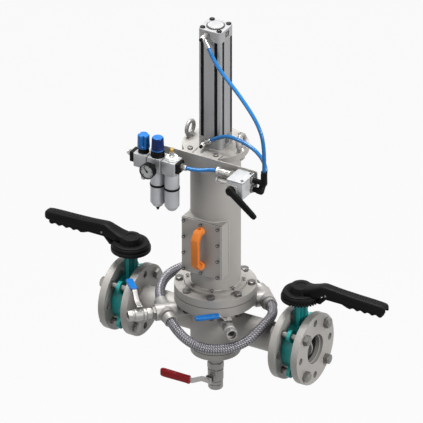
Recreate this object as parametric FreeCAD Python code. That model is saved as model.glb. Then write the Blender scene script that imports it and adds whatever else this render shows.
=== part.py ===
import FreeCAD, Part
import math
import os

# Inline magnetic separator: a magnet filter set into a DN65 pipeline.
# Product runs through the vessel. An air cylinder lifts the magnet rods out of
# their tubes for cleaning. Sizes are millimetres, +X is the flow, +Z is up.
# The work is drawn about the vessel's axis and moved to the inlet face at the end.

os.makedirs("parts", exist_ok=True)
V = FreeCAD.Vector
X_AXIS = V(1, 0, 0)
Y_AXIS = V(0, 1, 0)
Z_AXIS = V(0, 0, 1)
ORIGIN = V(0, 0, 0)

# Pipeline and flanges, DN65 PN16
face_x = 283.0
flange_od = 185.0
flange_thick = 18.0
flange_pcd = 145.0
flange_hole = 18.0
valve_gap = 46.0
pipe_od = 76.1
pipe_wall = 2.9
stud_size = 16.0

# Vessel and its flanges
vessel_od = 125.0
vessel_wall = 4.0
vessel_bottom = -80.0
base_plate_thick = 15.0
vessel_flange_thick = 24.0
vessel_flange_top = 90.0
gasket_thick = 2.0
cover_thick = 20.0
cover_bolt = 12.0
cover_bolt_space = 12.5

# Lift column
column_od = 125.0
column_wall = 3.0
base_ring_width = 15.0
base_ring_thick = 8.0
base_screw = 6.0
column_top = 495.0
top_ring_width = 20.0
top_ring_thick = 8.0
top_cover_thick = 8.0
top_bolt_edge = 10.5
top_bolt = 8.0
eye_thread = 10.0
eye_outer = 45.0
eye_hole = 25.0

# Hatch on the column
hatch_width = 110.0
hatch_bottom = 164.0
hatch_height = 150.0
hatch_front = 66.0
hatch_wall = 3.0
hatch_gasket = 2.0
hatch_cover_thick = 3.0
hatch_screw = 5.0
handle_inset = 26.65
handle_width = 20.0
handle_section = 12.0
handle_reach = 36.0

# Air cylinder, 50 mm bore
cyl_size = 65.0
cyl_corner = 11.0
cyl_bottom = 503.0
cyl_length = 326.0
end_cap_height = 28.5
cyl_bore = 50.0
cyl_screw_square = 46.5
cyl_collar = 40.0
rod_dia = 20.0
stroke = 220.0

# Magnet grid
tube_count = 6
tube_circle = 68.0
tube_od = 25.0
tube_wall = 1.2
tube_sheet_thick = 6.0
tube_sheet_rim = 24.5
tube_bottom = -58.0
magnet_clear = 0.5
magnet_length = 165.0
carrier_thick = 8.0

# Fits and small clearances
running_fit = 0.05
gap = 0.3
thread_depth = 16.0


def cyl(radius, length, base, axis=Z_AXIS):
    return Part.makeCylinder(radius, length, V(*base), axis)


def tube(outer, inner, length, base, axis=Z_AXIS):
    return cyl(outer, length, base, axis).cut(cyl(inner, length, base, axis))


def cone(radius_a, radius_b, length, base, axis=Z_AXIS):
    return Part.makeCone(radius_a, radius_b, length, V(*base), axis)


def box(x0, x1, y0, y1, z0, z1):
    return Part.makeBox(x1 - x0, y1 - y0, z1 - z0, V(x0, y0, z0))


def fuse(shapes):
    body = shapes[0]
    if len(shapes) > 1:
        body = body.multiFuse(shapes[1:])
    return body.removeSplitter()


def prism(sides, across_flats, height, base, axis=Z_AXIS):
    """A bar with flats, such as a hexagon, standing on base along axis."""
    radius = across_flats / 2 / math.cos(math.pi / sides)
    corners = []
    for i in range(sides + 1):
        angle = 2 * math.pi * (i + 0.5) / sides
        corners.append(V(radius * math.cos(angle), radius * math.sin(angle), 0))
    bar = Part.Face(Part.makePolygon(corners)).extrude(V(0, 0, height))
    bar.Placement = FreeCAD.Placement(V(*base), FreeCAD.Rotation(Z_AXIS, axis))
    return bar


def turned(shape, angle, centre=ORIGIN, axis=Z_AXIS):
    copy = shape.copy()
    copy.rotate(centre, axis, angle)
    return copy


def moved(shape, x, y, z):
    copy = shape.copy()
    copy.translate(V(x, y, z))
    return copy


def mirrored_x(shape):
    return shape.mirror(ORIGIN, X_AXIS)


def on_circle(shape, count, start=0.0):
    """Copies of a shape that stands on the +X side, turned about the Z axis."""
    return [turned(shape, start + 360.0 * i / count) for i in range(count)]


def profile(points, thickness, base_y):
    """A flat plate drawn in X and Z, thickness along +Y from base_y."""
    corners = [V(x, base_y, z) for x, z in points]
    corners.append(corners[0])
    return Part.Face(Part.makePolygon(corners)).extrude(V(0, thickness, 0))


def revolved(points, centre=ORIGIN, axis=Z_AXIS):
    """A turned part. Points are radius and height along the axis."""
    corners = [V(r, 0, h) for r, h in points]
    corners.append(corners[0])
    solid = Part.Face(Part.makePolygon(corners)).revolve(ORIGIN, Z_AXIS, 360)
    solid.Placement = FreeCAD.Placement(centre, FreeCAD.Rotation(Z_AXIS, axis))
    return solid


def hex_bolt(size, length, base, axis=Z_AXIS):
    """Hexagon head seated on base, shank pointing against the axis."""
    head = prism(6, 1.55 * size, 0.65 * size, base, axis)
    start = V(*base) - axis * length
    return head.fuse(Part.makeCylinder(size / 2, length, start, axis)).removeSplitter()


def cap_screw(size, length, base, axis=Z_AXIS):
    """Socket head seated on base, shank pointing against the axis."""
    head = cyl(0.8 * size, size, base, axis)
    mouth = V(*base) + axis * (0.5 * size)
    socket = prism(6, 0.8 * size, size, (mouth.x, mouth.y, mouth.z), axis)
    start = V(*base) - axis * length
    return head.cut(socket).fuse(Part.makeCylinder(size / 2, length, start, axis))


nodes = {}


def keep(name, shape):
    """Take a finished piece, moved so that the inlet face is at X = 0."""
    nodes[name] = moved(shape, face_x, 0, 0)


# Circles round the column: the screws sit in the middle of the base ring, and
# the cover bolts stand clear of it.
base_ring_od = column_od + 2 * base_ring_width
base_ring_pcd = column_od + base_ring_width
cover_pcd = base_ring_od + 2 * cover_bolt_space
vessel_flange_od = cover_pcd + 2 * cover_bolt_space
top_ring_od = column_od + 2 * top_ring_width
top_pcd = top_ring_od - 2 * top_bolt_edge
column_inner = column_od / 2 - column_wall
tube_sheet_radius = tube_circle / 2 + tube_od / 2 + tube_sheet_rim
handle_span = hatch_height - 2 * handle_inset

# Heights that the pieces share
cover_bottom = vessel_flange_top + gasket_thick
cover_top = cover_bottom + cover_thick
ring_top = cover_top + base_ring_thick
cyl_top = cyl_bottom + cyl_length
vessel_flange_bottom = vessel_flange_top - vessel_flange_thick
vessel_floor = vessel_bottom + base_plate_thick
vessel_bore = vessel_od / 2 - vessel_wall
pipe_bore = pipe_od / 2 - pipe_wall
inner_face = face_x - flange_thick - valve_gap
inner_back = inner_face - flange_thick
valve_x = inner_face + valve_gap / 2

# Flush ring and sampling point, one inch pipe on the vessel
nozzle_od = 33.7
nozzle_wall = 2.6
nozzle_z = 45.0
nozzle_root = 50.0
fitting_od = 42.0
cross_reach = 128.0
cross_angle = 225.0
tee_angle = 45.0
sample_angle = 315.0
branch_reach = 27.0
ferrule_od = 33.0
ferrule_length = 20.0
hose_od = 25.0

# Drain ball valve under the vessel
drain_body_od = 39.5
drain_bore = 12.5
drain_length = 110.0


def on_nozzle(shape, angle):
    """Turn a piece drawn along +X at nozzle height to its place on the vessel."""
    return turned(shape, angle)


def along_x(outer, inner, x0, x1, z=0.0):
    piece = cyl(outer, x1 - x0, (x0, 0, z), X_AXIS)
    if inner > 0:
        piece = piece.cut(cyl(inner, x1 - x0, (x0, 0, z), X_AXIS))
    return piece


def vessel_shell():
    wall_height = vessel_flange_bottom - vessel_floor
    shell = tube(vessel_od / 2, vessel_bore, wall_height, (0, 0, vessel_floor))
    floor = cyl(vessel_od / 2, base_plate_thick, (0, 0, vessel_bottom))
    floor = floor.cut(cyl(drain_bore, base_plate_thick, (0, 0, vessel_bottom)))
    shell = fuse([shell, floor])
    shell = shell.cut(along_x(pipe_od / 2, 0, -vessel_od, vessel_od))
    for angle in (cross_angle, tee_angle, sample_angle):
        hole = along_x(nozzle_od / 2, 0, nozzle_root - 10, vessel_od, nozzle_z)
        shell = shell.cut(on_nozzle(hole, angle))
    return shell


def vessel_pipes():
    pipe = along_x(pipe_od / 2, pipe_bore, -inner_face, inner_face)
    return pipe.cut(cyl(vessel_bore, 2 * vessel_od, (0, 0, -vessel_od)))


def nozzles():
    """Welded pipe stubs, cut flush with the inside of the vessel."""
    well = cyl(vessel_bore, 2 * vessel_od, (0, 0, -vessel_od))
    pipes = along_x(pipe_od / 2, 0, -inner_face, inner_face)
    stubs = []
    for angle, reach in (
        (cross_angle, cross_reach - branch_reach),
        (tee_angle, cross_reach - branch_reach),
        (sample_angle, vessel_od / 2 + 12),
    ):
        stub = along_x(nozzle_od / 2, nozzle_od / 2 - nozzle_wall, nozzle_root, reach, nozzle_z)
        stub = on_nozzle(stub, angle).cut(well).cut(pipes)
        stubs.append(stub)
    return Part.makeCompound(stubs)


def vessel_flange():
    recess_radius = tube_sheet_radius + gap
    ring = tube(vessel_flange_od / 2, vessel_bore, vessel_flange_thick, (0, 0, vessel_flange_bottom))
    recess = cyl(recess_radius, tube_sheet_thick, (0, 0, vessel_flange_top - tube_sheet_thick))
    return drilled(ring.cut(recess), 8, cover_pcd, cover_bolt + 1)


def drilled(plate, count, pcd, hole, start=22.5):
    """Plate about the Z axis with a circle of holes right through."""
    low = plate.BoundBox.ZMin
    depth = plate.BoundBox.ZLength
    for drill in on_circle(cyl(hole / 2, depth, (pcd / 2, 0, low)), count, start):
        plate = plate.cut(drill)
    return plate


def flange_gasket():
    sheet = tube(cover_pcd / 2 - cover_bolt, column_inner, gasket_thick, (0, 0, vessel_flange_top))
    return sheet


def cover_flange():
    ring = tube(vessel_flange_od / 2, column_inner, cover_thick, (0, 0, cover_bottom))
    ring = drilled(ring, 8, cover_pcd, cover_bolt + 1)
    for hole in on_circle(cyl(base_screw / 2, thread_depth, (base_ring_pcd / 2, 0, cover_top - thread_depth)), 8, 22.5):
        ring = ring.cut(hole)
    return ring


def tube_nest():
    """Tube sheet, and the closed stainless tubes welded in it that keep the magnets dry."""
    sheet_bottom = vessel_flange_top - tube_sheet_thick
    x = tube_circle / 2
    height = vessel_flange_top - tube_bottom
    sheet = cyl(tube_sheet_radius, tube_sheet_thick, (0, 0, sheet_bottom))
    for hole in on_circle(cyl(tube_od / 2, height, (x, 0, tube_bottom)), tube_count):
        sheet = sheet.cut(hole)
    well = cyl(tube_od / 2, height, (x, 0, tube_bottom))
    well = well.cut(cyl(tube_od / 2 - tube_wall, height, (x, 0, tube_bottom + tube_wall)))
    return Part.makeCompound([sheet] + on_circle(well, tube_count))


def vessel_flange_bolts():
    """Bolts with nuts that pull the cover down on the vessel flange."""
    bolts = []
    length = cover_top - vessel_flange_bottom
    bolt = hex_bolt(cover_bolt, length + 14, (cover_pcd / 2, 0, cover_top))
    nut = prism(6, 1.55 * cover_bolt, 0.8 * cover_bolt, (cover_pcd / 2, 0, vessel_flange_bottom), -Z_AXIS)
    bolts = on_circle(bolt.fuse(nut).removeSplitter(), 8, 22.5)
    return Part.makeCompound(bolts)


def column_shell():
    shell = tube(column_od / 2, column_inner, column_top - cover_top, (0, 0, cover_top))
    window = box(
        -hatch_width / 2 + hatch_wall,
        hatch_width / 2 - hatch_wall,
        -hatch_front,
        0,
        hatch_bottom + hatch_wall,
        hatch_bottom + hatch_height - hatch_wall,
    )
    return shell.cut(window)


def column_rings():
    """Base ring and top ring welded round the column."""
    base = tube(base_ring_od / 2, column_od / 2, base_ring_thick, (0, 0, cover_top))
    base = drilled(base, 8, base_ring_pcd, base_screw + 0.6)
    top = tube(top_ring_od / 2, column_od / 2, top_ring_thick, (0, 0, column_top - top_ring_thick))
    top = drilled(top, 4, top_pcd, top_bolt, 60)
    return base, top


def base_ring_screws():
    screw = cap_screw(base_screw, base_ring_thick + thread_depth, (base_ring_pcd / 2, 0, ring_top))
    return Part.makeCompound(on_circle(screw, 8, 22.5))


def hatch_box():
    """Welded box with an inner lip that takes the cover screws."""
    half = hatch_width / 2
    top = hatch_bottom + hatch_height
    lip = 12.0
    lip_depth = 8.0
    body = box(-half, half, -hatch_front, 0, hatch_bottom, top)
    inside = box(-half + hatch_wall, half - hatch_wall, lip_depth - hatch_front, 0,
                 hatch_bottom + hatch_wall, top - hatch_wall)
    mouth = box(-half + lip, half - lip, -hatch_front, 0, hatch_bottom + lip, top - lip)
    body = body.cut(inside).cut(mouth)
    body = body.cut(cyl(column_od / 2, column_top, (0, 0, 0)))
    for x, z in hatch_screw_places():
        body = body.cut(cyl(hatch_screw / 2, lip_depth, (x, -hatch_front, z), Y_AXIS))
    return body


def hatch_screw_places():
    middle = hatch_bottom + hatch_height / 2
    side = hatch_width / 2 - 7.0
    pitch = (hatch_height - 15.0) / 3
    places = []
    for i in range(4):
        z = middle + (i - 1.5) * pitch
        places.append((-side, z))
        places.append((side, z))
    places.append((0.0, middle + 1.5 * pitch))
    places.append((0.0, middle - 1.5 * pitch))
    return places


def hatch_gasket_frame():
    half = hatch_width / 2
    top = hatch_bottom + hatch_height
    lip = 12.0
    y0 = -hatch_front - hatch_gasket
    frame = box(-half, half, y0, -hatch_front, hatch_bottom, top)
    frame = frame.cut(box(-half + lip, half - lip, y0, -hatch_front, hatch_bottom + lip, top - lip))
    for x, z in hatch_screw_places():
        frame = frame.cut(cyl(hatch_screw / 2 + gap, hatch_gasket, (x, y0, z), Y_AXIS))
    return frame


cover_back = -hatch_front - hatch_gasket
cover_face = cover_back - hatch_cover_thick
handle_middle = hatch_bottom + hatch_height / 2 + 2.4
handle_screw = 6.0


def hatch_cover():
    half = hatch_width / 2
    plate = box(-half, half, cover_face, cover_back, hatch_bottom, hatch_bottom + hatch_height)
    for x, z in hatch_screw_places():
        plate = plate.cut(cyl(hatch_screw / 2 + gap, hatch_cover_thick, (x, cover_face, z), Y_AXIS))
    for side in (-1, 1):
        z = handle_middle + side * handle_span / 2
        plate = plate.cut(cyl(handle_screw / 2, hatch_cover_thick, (0, cover_face, z), Y_AXIS))
    return plate


def hatch_handle():
    """Bridge handle with sloping shoulders and round feet."""
    half = handle_span / 2 + handle_section / 2
    slope = 17.0
    shoulder = handle_reach * 0.45
    inner = handle_reach - handle_section
    outside = [(0, half), (shoulder, half), (handle_reach, half - slope),
               (handle_reach, slope - half), (shoulder, -half), (0, -half)]
    hole_top = half - handle_section
    inside = [(-1, hole_top), (shoulder * 0.7, hole_top), (inner, hole_top - slope * 0.8),
              (inner, slope * 0.8 - hole_top), (shoulder * 0.7, -hole_top), (-1, -hole_top)]

    def bar(points, width):
        corners = [V(-width / 2, cover_face - y, handle_middle + z) for y, z in points]
        corners.append(corners[0])
        return Part.Face(Part.makePolygon(corners)).extrude(V(width, 0, 0))

    body = bar(outside, handle_width)
    body = body.cut(bar(inside, 2 * handle_width))
    long_edges = [e for e in body.Edges if abs(e.BoundBox.XLength) > handle_width * 0.9]
    front_edges = [e for e in long_edges if e.BoundBox.YMax < cover_face - 1]
    body = body.makeFillet(2.5, front_edges)
    for side in (-1, 1):
        z = handle_middle + side * handle_span / 2
        foot = cyl(handle_width / 2, handle_section * 0.7, (0, cover_face, z), -Y_AXIS)
        body = body.fuse(foot)
    for side in (-1, 1):
        z = handle_middle + side * handle_span / 2
        body = body.cut(cyl(handle_screw / 2, handle_reach, (0, cover_face, z), -Y_AXIS))
        seat = cover_face - handle_section * 0.7
        body = body.cut(cyl(handle_screw * 0.8 + gap, handle_reach, (0, seat, z), -Y_AXIS))
    return body.removeSplitter()


def hatch_screws():
    """Socket screws of the cover, and the two in the handle's feet."""
    screws = []
    length = hatch_cover_thick + hatch_gasket + 7.0
    for x, z in hatch_screw_places():
        screws.append(cap_screw(hatch_screw, length, (x, cover_face, z), -Y_AXIS))
    for side in (-1, 1):
        z = handle_middle + side * handle_span / 2
        seat = cover_face - handle_section * 0.7
        reach = handle_section * 0.7 + hatch_cover_thick
        screws.append(cap_screw(handle_screw, reach, (0, seat, z), -Y_AXIS))
    return Part.makeCompound(screws)


def top_cover():
    lid = cyl(top_ring_od / 2, top_cover_thick, (0, 0, column_top))
    lid = drilled(lid, 1, 0, rod_dia + 4, 0)
    return lid_holes(lid)


def lid_holes(plate):
    """Four bolt holes and two eye bolt holes on one circle."""
    low = plate.BoundBox.ZMin
    depth = plate.BoundBox.ZLength
    for angle in (60, 120, 240, 300):
        hole = cyl(top_bolt / 2, depth, (top_pcd / 2, 0, low))
        plate = plate.cut(turned(hole, angle))
    for angle in (0, 180):
        hole = cyl(eye_thread / 2, depth, (top_pcd / 2, 0, low))
        plate = plate.cut(turned(hole, angle))
    return plate


def column_bolts():
    """Bolts and nuts of the top cover. Two of them also carry the bracket."""
    bolts = []
    grip = top_ring_thick + top_cover_thick
    for angle in (60, 120, 240, 300):
        lift = bracket_thick if angle > 180 else 0.0
        top = column_top + top_cover_thick + lift
        bolt = hex_bolt(top_bolt, grip + lift + 9, (top_pcd / 2, 0, top))
        nut = prism(6, 1.6 * top_bolt, 0.8 * top_bolt, (top_pcd / 2, 0, column_top - top_ring_thick), -Z_AXIS)
        bolts.append(turned(bolt.fuse(nut).removeSplitter(), angle))
    return Part.makeCompound(bolts)


def lifting_eyes():
    """Two forged eye bolts with a collar."""
    bar = (eye_outer - eye_hole) / 4
    seat = column_top + top_cover_thick
    middle = seat + eye_outer / 2
    grip = top_ring_thick + top_cover_thick
    x = top_pcd / 2
    eye = Part.makeTorus(eye_hole / 2 + bar, bar, V(x, 0, middle), X_AXIS)
    collar = cone(eye_thread * 1.1, bar * 1.3, 8.0, (x, 0, seat))
    eye = eye.fuse(collar)
    eye = eye.cut(box(x - 20, x + 20, -30, 30, seat - 10, seat))
    eye = eye.fuse(cyl(eye_thread / 2, grip + 12, (x, 0, seat - grip - 12)))
    nut = prism(6, 1.6 * eye_thread, 8.0, (x, 0, column_top - top_ring_thick), -Z_AXIS)
    eye = eye.fuse(nut).removeSplitter()
    return Part.makeCompound([eye, turned(eye, 180)])

# Bracket and air treatment
bracket_thick = 3.0
hose_small = 10.0


def cyl_block(z0, height):
    """Square block of the cylinder section with round corners."""
    half = cyl_size / 2
    block = box(-half, half, -half, half, z0, z0 + height)
    upright = [e for e in block.Edges if e.BoundBox.ZLength > height * 0.9]
    return block.makeFillet(cyl_corner, upright)


def cylinder_barrel():
    """Extruded barrel with two grooves on each side for sensors."""
    z0 = cyl_bottom + end_cap_height
    length = cyl_length - 2 * end_cap_height
    barrel = cyl_block(z0, length).cut(cyl(cyl_bore / 2, length, (0, 0, z0)))
    groove_width = 9.0
    groove_depth = 4.5
    groove_place = 19.0
    half = cyl_size / 2
    for side in (-1, 1):
        mid = side * groove_place
        slot = box(half - groove_depth, half + 1, mid - groove_width / 2, mid + groove_width / 2, z0, z0 + length)
        for turn in range(4):
            barrel = barrel.cut(turned(slot, 90 * turn))
    return barrel


port_x = -8.0
port_upper_z = cyl_top - end_cap_height / 2
port_lower_z = cyl_bottom + end_cap_height / 2
port_thread = 12.0
port_depth = 10.0


def cylinder_end_caps():
    """Cast end caps with pockets, air ports, collar and the rod guide."""
    low = cyl_block(cyl_bottom, end_cap_height)
    low = low.cut(cyl(rod_dia / 2 + running_fit, end_cap_height, (0, 0, cyl_bottom)))
    high = cyl_block(cyl_top - end_cap_height, end_cap_height)
    high = high.fuse(cyl(cyl_collar / 2, 3.0, (0, 0, cyl_top)))
    caps = []
    half = cyl_size / 2
    for cap, z in ((low, port_lower_z), (high, port_upper_z)):
        port = cyl(port_thread / 2, port_depth, (port_x, -half, z), Y_AXIS)
        cap = cap.cut(port)
        pocket = box(half - 4, half + 1, -9, 9, z - 8, z + 8)
        cap = cap.cut(turned(pocket, 0)).cut(turned(pocket, 90)).cut(turned(pocket, 180))
        caps.append(cap)
    for place in square_places():
        well = cyl(5.6, 9.0, (place[0], place[1], cyl_top - 9.0))
        caps[1] = caps[1].cut(well)
        thread = cyl(3.5, 16.0, (place[0], place[1], cyl_top - 25.0))
        caps[1] = caps[1].cut(thread)
    return Part.makeCompound(caps)


def square_places():
    half = cyl_screw_square / 2
    return [(half, half), (-half, half), (-half, -half), (half, -half)]


def cylinder_screws():
    """Socket screws of the upper end cap, sunk in their wells."""
    screws = []
    for x, y in square_places():
        head = cyl(5.3, 8.0, (x, y, cyl_top - 9.0))
        head = head.cut(prism(6, 6.0, 5.0, (x, y, cyl_top - 5.0)))
        screws.append(head.fuse(cyl(3.5, 16.0, (x, y, cyl_top - 25.0))))
    return Part.makeCompound(screws)


def flow_control(z, lean):
    """Elbow with a throttle screw. The outlet leans from straight down."""
    half = cyl_size / 2
    y0 = -half
    thread = cyl(port_thread / 2, port_depth - 1, (port_x, y0, z), Y_AXIS)
    nut = prism(6, 17.0, 6.0, (port_x, y0, z), -Y_AXIS)
    banjo = cyl(7.0, 13.0, (port_x, y0 - 6.0, z), -Y_AXIS)
    dome = cone(7.0, 4.5, 3.0, (port_x, y0 - 19.0, z), -Y_AXIS)
    angle = math.radians(lean)
    way = V(math.sin(angle), 0, -math.cos(angle))
    start = V(port_x, y0 - 12.5, z)
    arm = Part.makeCylinder(5.6, flow_arm - 8, start, way)
    collet = Part.makeCylinder(hose_small / 2 + 1.6, 9.0, start + way * (flow_arm - 8), way)
    body = fuse([thread, nut, banjo, dome, arm, collet])
    bore = Part.makeCylinder(hose_small / 2, 8.0, start + way * (flow_arm - 7), way)
    knob = prism(12, 8.0, 7.0, (port_x, y0 - 22.0, z), -Y_AXIS)
    return body.cut(bore), knob


flow_arm = 28.0
upper_lean = 29.0
lower_lean = 128.0


def flow_outlet(z, lean, depth=1.0):
    """Where a hose enters the collet of a flow control."""
    angle = math.radians(lean)
    reach = flow_arm - depth
    return V(port_x + reach * math.sin(angle), -cyl_size / 2 - 12.5, z - reach * math.cos(angle))


piston_low = cyl_bottom + end_cap_height + 3.0
piston_height = 22.0
carrier_bottom = cover_top
rod_stub = 12.0


def piston_rod():
    """Rod with its piston and the nut that holds the magnet carrier."""
    z_seat = carrier_bottom + carrier_thick
    rod = cyl(rod_dia / 2, piston_low - z_seat, (0, 0, z_seat))
    piston = cyl(cyl_bore / 2 - gap, piston_height, (0, 0, piston_low))
    stub = cyl(rod_stub / 2, carrier_thick + 10, (0, 0, carrier_bottom - 10))
    nut = prism(6, 1.6 * rod_stub, 8.0, (0, 0, carrier_bottom), -Z_AXIS)
    return fuse([rod, piston, stub, nut])


def magnet_carrier():
    """Round plate that guides in the column and carries the rods."""
    plate = cyl(column_inner - 0.6, carrier_thick, (0, 0, carrier_bottom))
    plate = plate.cut(cyl(rod_stub / 2, carrier_thick, (0, 0, carrier_bottom)))
    for hole in on_circle(cyl(4.0, carrier_thick, (tube_circle / 2, 0, carrier_bottom)), tube_count):
        plate = plate.cut(hole)
    return plate


def magnet_rods():
    """Magnet rods, each with a stud through the carrier and a nut on top."""
    radius = tube_od / 2 - tube_wall - magnet_clear
    x = tube_circle / 2
    rod = cyl(radius, magnet_length, (x, 0, carrier_bottom - magnet_length))
    stud = cyl(4.0, carrier_thick, (x, 0, carrier_bottom))
    nut = prism(6, 13.0, 6.0, (x, 0, carrier_bottom + carrier_thick))
    return Part.makeCompound(on_circle(fuse([rod, stud, nut]), tube_count))

# Butterfly valves, drawn for the outlet and turned half round for the inlet
wafer_radius = 59.0
liner_outer = 39.0
disc_radius = 32.7
socket_fit = 0.2
liner_lip = 2.0
stem_radius = 7.0
ear_thick = 9.0
neck_top = 134.0
neck_plate = 28.0
rib_reach = 17.0
rib_thick = 9.0
notch_radius = 50.0
notch_thick = 8.0
lever_reach = 241.0
lever_width = 28.0
lever_hub = 47.0


def on_station(shape, side):
    """Outlet station for side 1, inlet station for side -1."""
    placed = moved(shape, valve_x, 0, 0)
    if side < 0:
        placed = turned(placed, 180)
    return placed


def bolt_angles():
    return (45, 135, 225, 315)


def wafer_body():
    """Cast body: ring with a foot, ribbed neck with a top plate, and four ears for the bolts."""
    half = valve_gap / 2 - liner_lip
    outside = cyl(wafer_radius, 2 * half, (-half, 0, 0), X_AXIS)
    foot = cyl(stem_radius + 5, wafer_radius + 8, (0, 0, -wafer_radius - 8))
    ring = fuse([outside, foot]).cut(cyl(liner_outer, 2 * half, (-half, 0, 0), X_AXIS))
    neck = fuse([
        cyl(stem_radius + 6, neck_top, (0, 0, 0)),
        box(-rib_reach, rib_reach, -rib_thick / 2, rib_thick / 2, 0, neck_top),
        box(-rib_thick / 2, rib_thick / 2, -rib_reach, rib_reach, 0, neck_top),
        cyl(neck_plate, 7.0, (0, 0, neck_top - 7.0)),
    ])
    casting = [ring.cut(stem_hole()), neck.cut(outside).cut(stem_hole())]
    ear_radius = stud_size / 2 + 6.5
    arm = box(-ear_thick / 2, ear_thick / 2, -ear_radius, ear_radius, 0, flange_pcd / 2)
    eye = cyl(ear_radius, ear_thick, (-ear_thick / 2, 0, flange_pcd / 2), X_AXIS)
    hole = cyl(stud_size / 2 + gap, ear_thick, (-ear_thick / 2, 0, flange_pcd / 2), X_AXIS)
    ear = arm.fuse(eye).cut(hole).cut(outside).removeSplitter()
    for angle in bolt_angles():
        casting.append(turned(ear, angle, ORIGIN, X_AXIS))
    return Part.makeCompound(casting)


def stem_hole():
    bottom = -wafer_radius
    return cyl(stem_radius + running_fit, neck_top - bottom + 1, (0, 0, bottom))


def valve_liner():
    """Rubber seat with lips that seal on both flanges."""
    half = valve_gap / 2
    inner = disc_radius + gap
    liner = cyl(liner_outer, valve_gap - 2 * liner_lip, (liner_lip - half, 0, 0), X_AXIS)
    for x in (-half, half - liner_lip):
        liner = liner.fuse(cyl(liner_outer + 8, liner_lip, (x, 0, 0), X_AXIS))
    liner = liner.cut(cyl(inner, valve_gap, (-half, 0, 0), X_AXIS))
    return liner.cut(stem_hole()).removeSplitter()


def valve_disc():
    """Lens shaped disc on its stem, open along the pipe."""
    lens = revolved([(0, -2.5), (disc_radius, -2.0), (disc_radius, 2.0), (0, 2.5)], ORIGIN, Y_AXIS)
    hub = cyl(stem_radius + 2, 2 * disc_radius - 14, (0, 0, 7 - disc_radius))
    bottom = -wafer_radius + 1
    stem = cyl(stem_radius, hub_top - bottom - 3, (0, 0, bottom))
    return fuse([lens, hub, stem])


hub_bottom = neck_top + notch_thick + gap
hub_top = 172.0


def notch_plate():
    """Toothed plate on the neck that the trigger's pawl drops into."""
    plate = cyl(notch_radius, notch_thick, (0, 0, neck_top))
    plate = plate.cut(cyl(stem_radius + 1, notch_thick, (0, 0, neck_top)))
    notch = box(notch_radius - 5, notch_radius + 1, -2.0, 2.0, neck_top, neck_top + notch_thick)
    for i in range(11):
        plate = plate.cut(turned(notch, -9.0 * i))
    return plate


def valve_lever():
    """Hand lever: round hub, rising root and a channel shaped arm."""
    end = lever_reach
    side = [(-20, hub_bottom + 12), (-20, hub_top - 3), (-16, hub_top), (20, hub_top), (67, 190),
            (end - 6, 182), (end, 176), (end, 165), (end - 5, 160), (118, 163), (62, 163), (46, hub_bottom + 12)]
    arm = profile(side, lever_width, -lever_width / 2)
    top_edges = [e for e in arm.Edges if e.BoundBox.YLength < 0.01 and e.BoundBox.ZMin > 171.9]
    arm = arm.makeFillet(4.0, top_edges)
    channel = box(64, end - 8, -lever_width / 2 + 6, lever_width / 2 - 6, 150, 178)
    arm = arm.cut(channel)
    hub = cone(lever_hub, lever_hub - 3, 13.0, (0, 0, hub_bottom))
    lever = fuse([hub, arm])
    return lever.cut(cyl(stem_radius, hub_top - hub_bottom - 3, (0, 0, hub_bottom)))


pivot_u = 76.0
pivot_z = 168.0


def lever_trigger():
    """Squeeze grip with finger grooves and a pawl at its inner end."""
    bottom = hub_bottom - notch_thick
    outline = [(notch_radius + 0.6, bottom), (58, bottom), (74, 152), (118, 152), (132, 147)]
    grip_start = 140.0
    grip_pitch = 20.0
    for i in range(4):
        u = grip_start + i * grip_pitch
        outline.append((u, 145))
        outline.append((u + grip_pitch / 2, 149.5))
    outline += [(228, 145), (231, 149), (231, 160), (118, 162), (84, 172), (68, 172),
                (66, 156), (notch_radius + 0.6, bottom + 9)]
    width = lever_width - 13
    trigger = profile(outline, width, -width / 2)
    return trigger


def station_bolts():
    """Four bolts with nuts that clamp the valve between the flanges."""
    bolts = []
    inner = inner_back - valve_x
    outer = face_x - valve_x
    height = 0.65 * stud_size
    for angle in bolt_angles():
        shank = cyl(stud_size / 2, outer - inner + 14, (inner, 0, flange_pcd / 2), X_AXIS)
        head = prism(6, 1.5 * stud_size, height, (inner, 0, flange_pcd / 2), -X_AXIS)
        nut = prism(6, 1.5 * stud_size, 0.8 * stud_size, (outer, 0, flange_pcd / 2), X_AXIS)
        bolts.append(turned(fuse([shank, head, nut]), angle, ORIGIN, X_AXIS))
    return Part.makeCompound(bolts)


def pipe_flange(x0, bore):
    """Flat flange with eight holes, its back face at x0."""
    plate = cyl(flange_od / 2, flange_thick, (x0, 0, 0), X_AXIS)
    plate = plate.cut(cyl(bore, flange_thick, (x0, 0, 0), X_AXIS))
    for i in range(8):
        hole = cyl(flange_hole / 2, flange_thick, (x0, 0, flange_pcd / 2), X_AXIS)
        plate = plate.cut(turned(hole, 45 * i, ORIGIN, X_AXIS))
    return plate


def both_stations(shape):
    return Part.makeCompound([on_station(shape, 1), on_station(shape, -1)])


mouth_step = 2.0
mouth_lip = 2.0


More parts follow.
